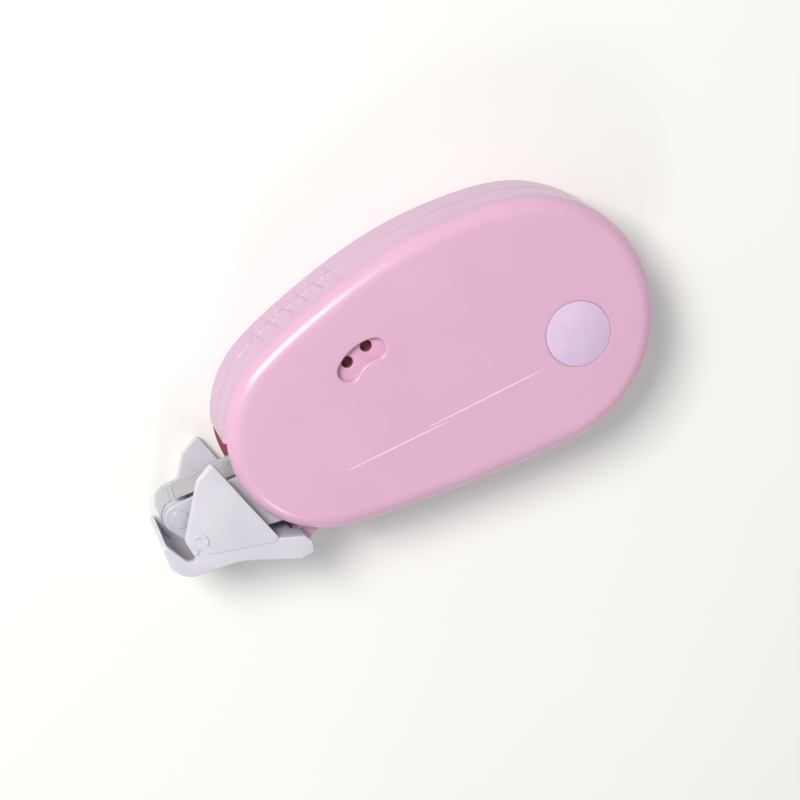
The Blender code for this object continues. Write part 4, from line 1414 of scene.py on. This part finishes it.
@dataclass
class Reels:
    """The gears, the friction clutch and both spools with what is wound on them.

    Attributes:
        gear_low: height of both gears' lower side.
        gear_top: height of their upper side.
        mesh_angle: direction from the supply axis to the take-up axis.
        core: radius of both spools' cores.
        roll_bore: inner radius of what is wound on them.
        flange: radius of the take-up reel's flanges.
        flange_top: height of the upper flange's upper side.
    """

    gear_low: float = 1.6
    gear_top: float = 3.0
    mesh_angle: float = math.radians(176.0)
    core: float = 6.0
    roll_bore: float = 6.06
    flange: float = 7.81
    flange_top: float = 11.5

    def windows(self, axis: tuple[float, float], inner: float, outer: float, count: int) -> list[np.ndarray]:
        """Return the openings between a wheel's spokes: ring sectors that cover 0.72 of its round.

        Args:
            axis: the wheel's axis.
            inner: inner radius of an opening.
            outer: outer radius of an opening.
            count: number of openings.

        Returns:
            The outline of each opening.
        """
        span, spoke = 2 * np.pi / count, 0.14
        ends = [((i + spoke) * span, (i + 1 - spoke) * span) for i in range(count)]
        return [np.concatenate([arc(axis, outer, first, last, 22), arc(axis, inner, last, first, 14)])
                for first, last in ends]

    def supply_drive(self) -> None:
        """Build the supply gear with its hub, the rubber friction ring and the retaining cap."""
        body = "supply_drive"
        outlines = [gear_outline(SUPPLY_AXIS, SUPPLY_TEETH, self.mesh_angle), circle(SUPPLY_AXIS, REEL_BORE)]
        gear = slab(outlines + self.windows(SUPPLY_AXIS, 6.6, 12.4, 5), self.gear_low, self.gear_top, 0.1)
        hub = tube(SUPPLY_AXIS, 3.2, REEL_BORE, 2.4, ROLLER_TOP, 0.1)
        wheel = in_one("gear", gear, [hub])
        dress("supply_gear_wheel", wheel, (IVORY_POM,), body, ("supply_gear",))
        ring = Skin()
        ring.turned(SUPPLY_AXIS, circle((4.0, MID_Z), 0.5, 20)[::-1], 72, ring=True)
        dress("friction_ring", ring.mesh("ring"), (BLACK_RUBBER,), body, ("clutch_ring",))
        cap = tube(SUPPLY_AXIS, 5.3, REEL_BORE, 11.2, 11.8, 0.15)
        dress("retaining_cap", cap.mesh("cap"), (WHITE_PP,), body, ("clutch_cap",))

    def supply_spool(self) -> None:
        """Build the supply core and the roll of glue film on it."""
        body = "supply_spool"
        core = tube(SUPPLY_AXIS, self.core, 4.8, 3.3, ROLLER_TOP, 0.15)
        dress("supply_spool_core", core.mesh("core"), (ROSE_POM,), body, ("supply_core",))
        roll = tube(SUPPLY_AXIS, SUPPLY_ROLL, self.roll_bore, TAPE_LOW, TAPE_TOP, 0.08)
        dress("wound_glue_tape", roll.mesh("roll"), (WOUND_FILM,), body, ("supply_tape_roll",))

    def takeup_spool(self) -> None:
        """Build the take-up gear with its spool, the upper flange and the wound liner.

        The gear's phase puts one of its gaps where a tooth of the supply gear points at it.
        """
        body, top = "takeup_spool", self.flange_top
        outline = gear_outline(TAKEUP_AXIS, TAKEUP_TEETH, self.mesh_angle + np.pi + np.pi / TAKEUP_TEETH)
        gear = slab([outline, circle(TAKEUP_AXIS, REEL_BORE)], self.gear_low, self.gear_top, 0.1)
        spool = hoop(TAKEUP_AXIS, [
            (3.7, top, 0.1), (3.7, 10.6, 0.02), (self.core, 10.6, 0.15), (self.core, 4.0, 0.1),
            (self.flange, 4.0, 0.15), (self.flange, 3.4, 0.15), (4.0, 3.4, 0.1), (4.0, 2.7, 0.02),
            (REEL_BORE, 2.7, 0.05), (REEL_BORE, top, 0.1)])
        reel = in_one("reel", gear, [spool])
        dress("takeup_reel_body", reel, (ROSE_POM,), body, ("takeup_reel",))
        flange = tube(TAKEUP_AXIS, self.flange, 4.0, 10.9, top, 0.15)
        dress("takeup_upper_flange", flange.mesh("flange"), (WHITE_PP,), body, ("takeup_flange",))
        roll = tube(TAKEUP_AXIS, LINER_ROLL, self.roll_bore, TAPE_LOW, TAPE_TOP, 0.06)
        dress("wound_liner", roll.mesh("roll"), (WOUND_LINER,), body, ("takeup_liner_roll",))

    def guide_rollers(self) -> None:
        """Build the two flanged rollers that lead the tape out and the liner back."""
        rim, bore, slope = 2.2, 1.2, 0.15
        for word, axis in (("feed", FEED_GUIDE), ("return", RETURN_GUIDE)):
            skin = hoop(axis, [
                (rim, ROLLER_TOP, 0.12), (rim, TAPE_TOP + slope, 0.08), (GUIDE_RADIUS, TAPE_TOP, 0.1),
                (GUIDE_RADIUS, TAPE_LOW, 0.1), (rim, TAPE_LOW - slope, 0.08), (rim, ROLLER_LOW, 0.12),
                (bore, ROLLER_LOW, 0.08), (bore, ROLLER_TOP, 0.08)], 48)
            cad_name = f"{word}_guide_roller"
            mesh = skin.mesh(cad_name)
            dress(f"{word}_roller", mesh, (ROSE_POM,), f"{word}_guide", (cad_name,))

    def build(self) -> None:
        """Build every reel, in the order that the tape passes them."""
        self.supply_drive()
        self.supply_spool()
        self.takeup_spool()
        self.guide_rollers()


@dataclass
class TapeRuns:
    """The glue film from the supply roll round the tip, and the bare liner back to its reel.

    Attributes:
        thickness: drawn thickness of a strip.
        lift: distance from a roller to the strip's middle.
    """

    thickness: float = 0.1
    lift: float = 0.12

    def tangent(self, first: tuple, second: tuple) -> tuple[np.ndarray, np.ndarray]:
        """Return where a straight run leaves one disc and meets the next.

        A disc is its centre and a signed radius, positive with the centre on the run's left.
        The run's heading is turned by the arcsine of the radii's difference over the distance.

        Args:
            first: the disc that the run leaves.
            second: the disc that it meets.

        Returns:
            The points where it leaves and meets them.
        """
        (c1, s1), (c2, s2) = ((np.array(c), s) for c, s in (first, second))
        gap = c2 - c1
        heading = math.atan2(gap[1], gap[0]) - math.asin((s2 - s1) / float(np.hypot(*gap)))
        left = np.array([-math.sin(heading), math.cos(heading)])
        return c1 - s1 * left, c2 - s2 * left

    def around(self, centre: tuple[float, float], start: np.ndarray, end: np.ndarray,
               count: int) -> np.ndarray:
        """Return points on a circle from start to end, turning clockwise.

        Args:
            centre: the circle's centre.
            start: the first point, which gives the radius.
            end: a point in the direction of the last.
            count: number of points.

        Returns:
            Array of shape (count, 2).
        """
        a, b = (np.arctan2(*(p - np.array(centre))[::-1]) for p in (start, end))
        return arc(centre, float(np.hypot(*(start - centre))), a, a - (a - b) % (2 * np.pi), count)

    def strip(self, name: str, path: np.ndarray, finish: Finish, node_name: str) -> None:
        """Build a strip along a path, with a point attribute that holds the run along and across it.

        Its section is a thin upright box: the path moved half a thickness to each side, at the
        heights of the tape.

        Args:
            name: the piece's name.
            path: points of its middle line, of shape (n, 2).
            finish: its material.
            node_name: the CAD node that it stands for.
        """
        dense, longest = [], 0.8
        for a, b in zip(path[:-1], path[1:]):
            count = max(2, int(np.hypot(*(b - a)) / longest) + 1)
            dense.append(a + (b - a) * np.linspace(0, 1, count, endpoint=False)[:, None])
        path = np.concatenate(dense + [path[-1:]])
        way = np.gradient(path, axis=0)
        way = way / np.hypot(*way.T)[:, None]
        side = np.stack([-way[:, 1], way[:, 0]], -1) * self.thickness / 2
        run = np.concatenate([[0.0], np.cumsum(np.hypot(*np.diff(path, axis=0).T))])
        skin = Skin()
        levels = np.linspace(TAPE_LOW, TAPE_TOP, 5)
        rows = [lifted(path + side, z) for z in levels] + [lifted(path - side, z) for z in levels[::-1]]
        skin.grid(np.stack(rows), round_columns=False, round_rows=True)
        skin.polygon(np.stack([row[0] for row in rows])[::-1])
        skin.polygon(np.stack([row[-1] for row in rows]))
        mesh = skin.mesh(name, merge=False)
        across = np.concatenate([levels, levels[::-1]])
        grid = np.stack(np.meshgrid(across, run, indexing="ij") + [np.zeros((len(across), len(run)))], -1)
        ends = np.stack([across, np.zeros_like(across), np.zeros_like(across)], -1)
        flat = np.concatenate([grid.reshape(-1, 3)[:, [1, 0, 2]], ends[::-1], ends])
        run_map = mesh.attributes.new("run", "FLOAT_VECTOR", "POINT")
        run_map.data.foreach_set("vector", flat.astype(np.float32).ravel())
        dress(name, cleaned(mesh, 0.001), (finish,), "casing", (node_name,))

    def build(self) -> None:
        """Build both strips, from the supply roll round the tip and from there to the take-up reel."""
        supply = (SUPPLY_AXIS, -(SUPPLY_ROLL + self.lift))
        feed = (FEED_GUIDE, -(GUIDE_RADIUS + self.lift))
        tip = (TIP_AXIS, -(TIP_RADIUS + self.lift))
        back = (RETURN_GUIDE, -(GUIDE_RADIUS + self.lift))
        takeup = (TAKEUP_AXIS, LINER_ROLL + self.lift)
        leave_supply, meet_feed = self.tangent(supply, feed)
        leave_feed, meet_tip = self.tangent(feed, tip)
        leave_tip, meet_back = self.tangent(tip, back)
        leave_back, meet_takeup = self.tangent(back, takeup)
        path = np.concatenate([
            leave_supply[None],
            self.around(feed[0], meet_feed, leave_feed, 8),
            self.around(tip[0], meet_tip, leave_tip, 30),
        ])
        self.strip("glue_film_run", path, GLUE_FILM, "feed_tape_run")
        apart = 0.04
        start = leave_tip + (meet_back - leave_tip) * apart
        bend = self.around(back[0], meet_back, leave_back, 8)
        path = np.concatenate([start[None], bend, meet_takeup[None]])
        self.strip("liner_run", path, LINER_PAPER, "liner_return_run")


@dataclass
class ApplicatorHead:
    """The clear head with its arms, the tip roller and the roller's axle.

    Attributes:
        arm_heights: lower and upper side of each arm.
        boss_heights: lower and upper side of the boss on each arm's outer side.
        axle_heights: ends of the roller's axle, inside the bosses.
        wire_heights: ends of the hinge wire, inside the cap's knuckles.
    """

    arm_heights: tuple = ((2.4, 3.4), (11.2, 12.2))
    boss_heights: tuple = ((2.2, 2.8), (11.8, 12.4))
    axle_heights: tuple[float, float] = (2.85, 11.75)
    wire_heights: tuple[float, float] = (1.1, 13.5)

    def moulding(self) -> None:
        """Build the head: two arms with their bosses, and the web between them."""
        outline = belt([(TIP_AXIS, 1.95), (SNAP, 1.3), (ANCHOR, 2.1), (RETURN_GUIDE, 2.1)], 200)
        holes = [circle(TIP_AXIS, 0.68, 32), circle(ANCHOR, 1.2, 32), circle(RETURN_GUIDE, 1.2, 32)]
        far_arm, near_arm = (slab([outline] + holes, low, high, 0.14) for low, high in self.arm_heights)
        bosses = [slab([circle(TIP_AXIS, 1.25)], low, high, 0.1) for low, high in self.boss_heights]
        web_line = belt([((-28.15, -3.58), 0.6), ((-22.15, -4.78), 0.6)], 64)
        web = slab([web_line], self.arm_heights[0][1] - 0.3, self.arm_heights[1][0] + 0.3, 0.1)
        mesh = in_one("head", far_arm, [near_arm, web] + bosses)
        dress("clear_head", mesh, (CLEAR_PS,), "casing", ("head_frame",))

    def roller(self) -> None:
        """Build the roller that presses the tape down."""
        bore = 0.75
        skin = hoop(TIP_AXIS, [
            (TIP_RADIUS, ROLLER_TOP, 0.2), (TIP_RADIUS, ROLLER_LOW, 0.2), (bore, ROLLER_LOW, 0.1),
            (bore, ROLLER_TOP, 0.1)], 64)
        dress("applicator_roller", skin.mesh("roller"), (CLEAR_PS,), "tip", ("tip_roller",))

    def pin(self, name: str, axis: tuple[float, float], radius: float, ends: tuple[float, float],
            cad_name: str) -> None:
        """Build a steel pin with chamfered ends.

        Args:
            name: the piece's name.
            axis: x and y of its axis.
            radius: its radius.
            ends: heights of its ends.
            cad_name: the CAD node that it stands for.
        """
        (low, high), cut = ends, 0.12
        skin = Skin()
        skin.turned(axis, [
            (0.0, low), (radius - cut, low), (radius, low + cut), (radius, high - cut), (radius - cut, high),
            (0.0, high)], 32)
        dress(name, skin.mesh(name), (STEEL_WIRE,), "casing", (cad_name,))

    def build(self) -> None:
        """Build the head, its roller and both pins."""
        self.moulding()
        self.roller()
        self.pin("roller_axle", TIP_AXIS, 0.6, self.axle_heights, "tip_axle")
        self.pin("hinge_wire", HINGE_AXIS, 0.52, self.wire_heights, "cap_hinge_pin")


@dataclass
class FlipCap:
    """The white cap that swings over the tip: floor, lip, cheeks, snaps and hinge.

    Attributes:
        low: height of its far side.
        high: height of its near side.
        cheek: thickness of a cheek.
        step: how far the cheek's panel stands out from the rail below it.
        knuckle_gap: lower and upper height of the room for the casing's hinge lugs.
    """

    low: float = 0.4
    high: float = 14.2
    cheek: float = 1.2
    step: float = 0.16
    knuckle_gap: tuple[float, float] = (4.1, 10.5)

    def side(self) -> np.ndarray:
        """Return the whole cap's outline from the side.

        It runs down the lip, along the floor, round the tail and over the cheek, and back down
        the cheek's front into the gap behind the lip.

        Returns:
            Array of shape (n, 2).
        """
        (tx, ty), (hx, hy) = TIP_AXIS, HINGE_AXIS
        return rounded([
            (tx - 3.8, ty - 2.0, 0.3), (tx - 4.3, ty - 7.1, 3.4), (tx + 4.7, ty - 8.6, 8.0),
            (hx - 0.9, hy - 1.25, 0.6), (hx + 1.0, hy - 1.25, 0.45), (hx + 1.45, hy + 0.2, 0.4),
            (hx + 0.9, hy + 1.4, 0.3), (hx - 2.4, hy + 3.0, 0.3), (tx + 8.65, ty - 1.0, 12.0),
            (tx + 7.1, ty + 5.4, 0.5), (tx + 4.3, ty + 4.1, 1.4), (tx - 0.75, ty - 2.5, 0.8),
            (tx - 0.5, ty - 5.6, 0.3), (tx - 1.6, ty - 5.4, 1.2), (tx - 3.1, ty - 2.0, 0.2)], 12)

    def trough(self) -> np.ndarray:
        """Return the outline of the room between the cheeks, above the floor and behind the lip.

        Returns:
            Array of shape (n, 2).
        """
        (tx, ty), (hx, hy) = TIP_AXIS, HINGE_AXIS
        front, tail, open_end = tx - 3.18, hx - 2.55, ty + 11.03
        return rounded([
            (front, open_end, 0.5), (front, ty - 6.2, 2.4), (tx + 4.7, ty - 7.7, 8.0), (tail, hy + 1.97, 0.3),
            (tail, open_end, 0.5)], 12)

    def panel(self) -> np.ndarray:
        """Return the outline of the raised cheek panel, with its small notch at the lower corner.

        Returns:
            Array of shape (n, 2).
        """
        tx, ty = TIP_AXIS
        return rounded([
            (tx + 10.44, ty - 8.02, 0.25), (tx + 8.62, ty - 1.02, 12.0), (tx + 7.1, ty + 5.36, 0.5),
            (tx + 4.32, ty + 4.05, 1.4), (tx - 0.7, ty - 2.47, 0.8), (tx - 0.56, ty - 4.72, 0.5),
            (tx + 0.1, ty - 4.97, 0.14), (tx + 0.25, ty - 4.47, 0.2), (tx + 0.8, ty - 4.47, 0.2),
            (tx + 0.95, ty - 5.22, 0.14), (tx + 1.8, ty - 5.82, 0.3), (tx + 9.8, ty - 8.47, 0.14)], 8)

    def hook(self) -> np.ndarray:
        """Return the raised arch over the snap: a ring sector with round ends.

        Returns:
            Array of shape (n, 2).
        """
        centre, (first, last) = np.array(SNAP), (math.radians(-45.0), math.radians(105.0))
        outer, inner = 1.12, 0.66
        at_first, at_last = (polar(centre, (outer + inner) / 2, angle) for angle in (first, last))
        ends = (outer - inner) / 2
        return np.concatenate([
            arc(centre, outer, first, last, 36),
            arc(at_last, ends, last, last + np.pi, 10)[1:-1],
            arc(centre, inner, last, first, 28),
            arc(at_first, ends, first + np.pi, first + 2 * np.pi, 10)[1:-1],
        ])

    def build(self) -> None:
        """Build the cap as one moulding: a block, panels and arches on it, the rooms out, the snaps in."""
        inner_low, inner_high = self.low + self.cheek, self.high - self.cheek
        panel, hook, nub, fine = [self.panel()], [self.hook()], [circle(SNAP, 0.8, 32)], 0.09
        base = slab([self.side()], self.low + self.step, self.high - self.step, 0.16)
        joined = [slab(panel, self.low, self.low + 0.6, fine), slab(panel, self.high - 0.6, self.high, fine)]
        joined += [slab(hook, face - 0.2, face + 0.2, fine) for face in (self.high, self.low)]
        snaps = [slab(nub, inner_low - 0.2, inner_low + 0.4, 0.15),
                 slab(nub, inner_high - 0.4, inner_high + 0.2, 0.15)]
        removed = [
            slab([self.trough()], inner_low, inner_high, 0.12),
            slab([circle(HINGE_AXIS, 2.05)], *self.knuckle_gap, 0.05),
            slab([circle(HINGE_AXIS, 0.62, 32)], 1.0, THICKNESS - 1.0, 0.05),
        ]
        mesh = in_one("flip_cap", base, joined, removed, snaps)
        dress("flip_cap_moulding", mesh, (WHITE_PP,), "flip_cap", ("cap",))


@dataclass
class Studio:
    """A pale floor, soft lights and the camera.

    Attributes:
        target: the point that the middle of the picture shows.
        distance: from the camera to that point.
        lens: focal length on a sensor 36 mm wide.
        right: direction of the picture's right side.
        up: direction of its upper side.
        back: direction from the target to the camera.
    """

    target: tuple[float, float, float] = (-0.43, -0.8, 14.4)
    distance: float = 292.8
    lens: float = 100.0
    right: tuple[float, float, float] = (0.8814, -0.4084, 0.241)
    up: tuple[float, float, float] = (0.4647, 0.8410, -0.274)
    back: tuple[float, float, float] = (-0.0908, 0.3535, 0.9311)

    def floor(self) -> None:
        """Add a wide pale floor just under the runner."""
        skin, level = Skin(), -0.02
        x, y = np.meshgrid(*[np.linspace(-1500.0, 1500.0, 3)] * 2)
        skin.grid(np.stack([x, y, np.full_like(x, level)], -1), round_columns=False)
        floor = linked("floor", skin.mesh("floor", merge=False))
        floor.data.materials.append(Finish("pale_paper", "#F6F6F3", "#F8F8F5", 0.7, 6.0, 0.0).build())

    def light(self, name: str, place: tuple, size: float, power: float, colour: str) -> None:
        """Add a square area light that faces the runner.

        Args:
            name: the light's name.
            place: where it stands, in millimetres.
            size: length of its side, in millimetres.
            power: its power, in watts.
            colour: its colour, as sRGB hex.
        """
        data = bpy.data.lights.new(name, "AREA")
        data.size = size * MM
        data.energy = power
        data.color = linear(colour)[:3]
        lamp = linked(name, data)
        spot = Vector(place) * MM
        lamp.location = spot
        lamp.rotation_mode = "QUATERNION"
        lamp.rotation_quaternion = (Vector((0.0, 0.0, 0.0)) - spot).to_track_quat("-Z", "Y")

    def camera(self) -> None:
        """Add the camera, turned by its own right, up and back directions."""
        data = bpy.data.cameras.new("camera")
        data.lens = self.lens
        data.sensor_width = 36.0
        data.clip_start, data.clip_end = 0.01, 10.0
        camera = linked("camera", data)
        place = (Vector(self.target) + Vector(self.back) * self.distance) * MM
        turn = Matrix((self.right, self.up, self.back)).transposed().to_4x4()
        camera.matrix_world = Matrix.Translation(place) @ turn
        bpy.context.scene.camera = camera

    def build(self) -> None:
        """Add floor, lights, plain sky and camera."""
        self.floor()
        self.light("key", (-190.0, 385.0, 500.0), 230.0, 3.5, "#FFFDF8")
        self.light("fill", (-260.0, -330.0, 300.0), 110.0, 0.32, "#F6F6FF")
        sky = bpy.data.worlds.new("sky")
        sky.use_nodes = True
        back = sky.node_tree.nodes["Background"]
        back.inputs["Color"].default_value = (1.0, 1.0, 1.0, 1.0)
        back.inputs["Strength"].default_value = 0.42
        bpy.context.scene.world = sky
        bpy.context.scene.view_settings.view_transform = "Standard"
        self.camera()


def main() -> None:
    """Build every sub-assembly and the studio."""
    for assembly in (Casing(), Reels(), TapeRuns(), ApplicatorHead(), FlipCap(), Studio()):
        log.info("-- %s", type(assembly).__name__)
        assembly.build()


if __name__ == "__main__":
    main()
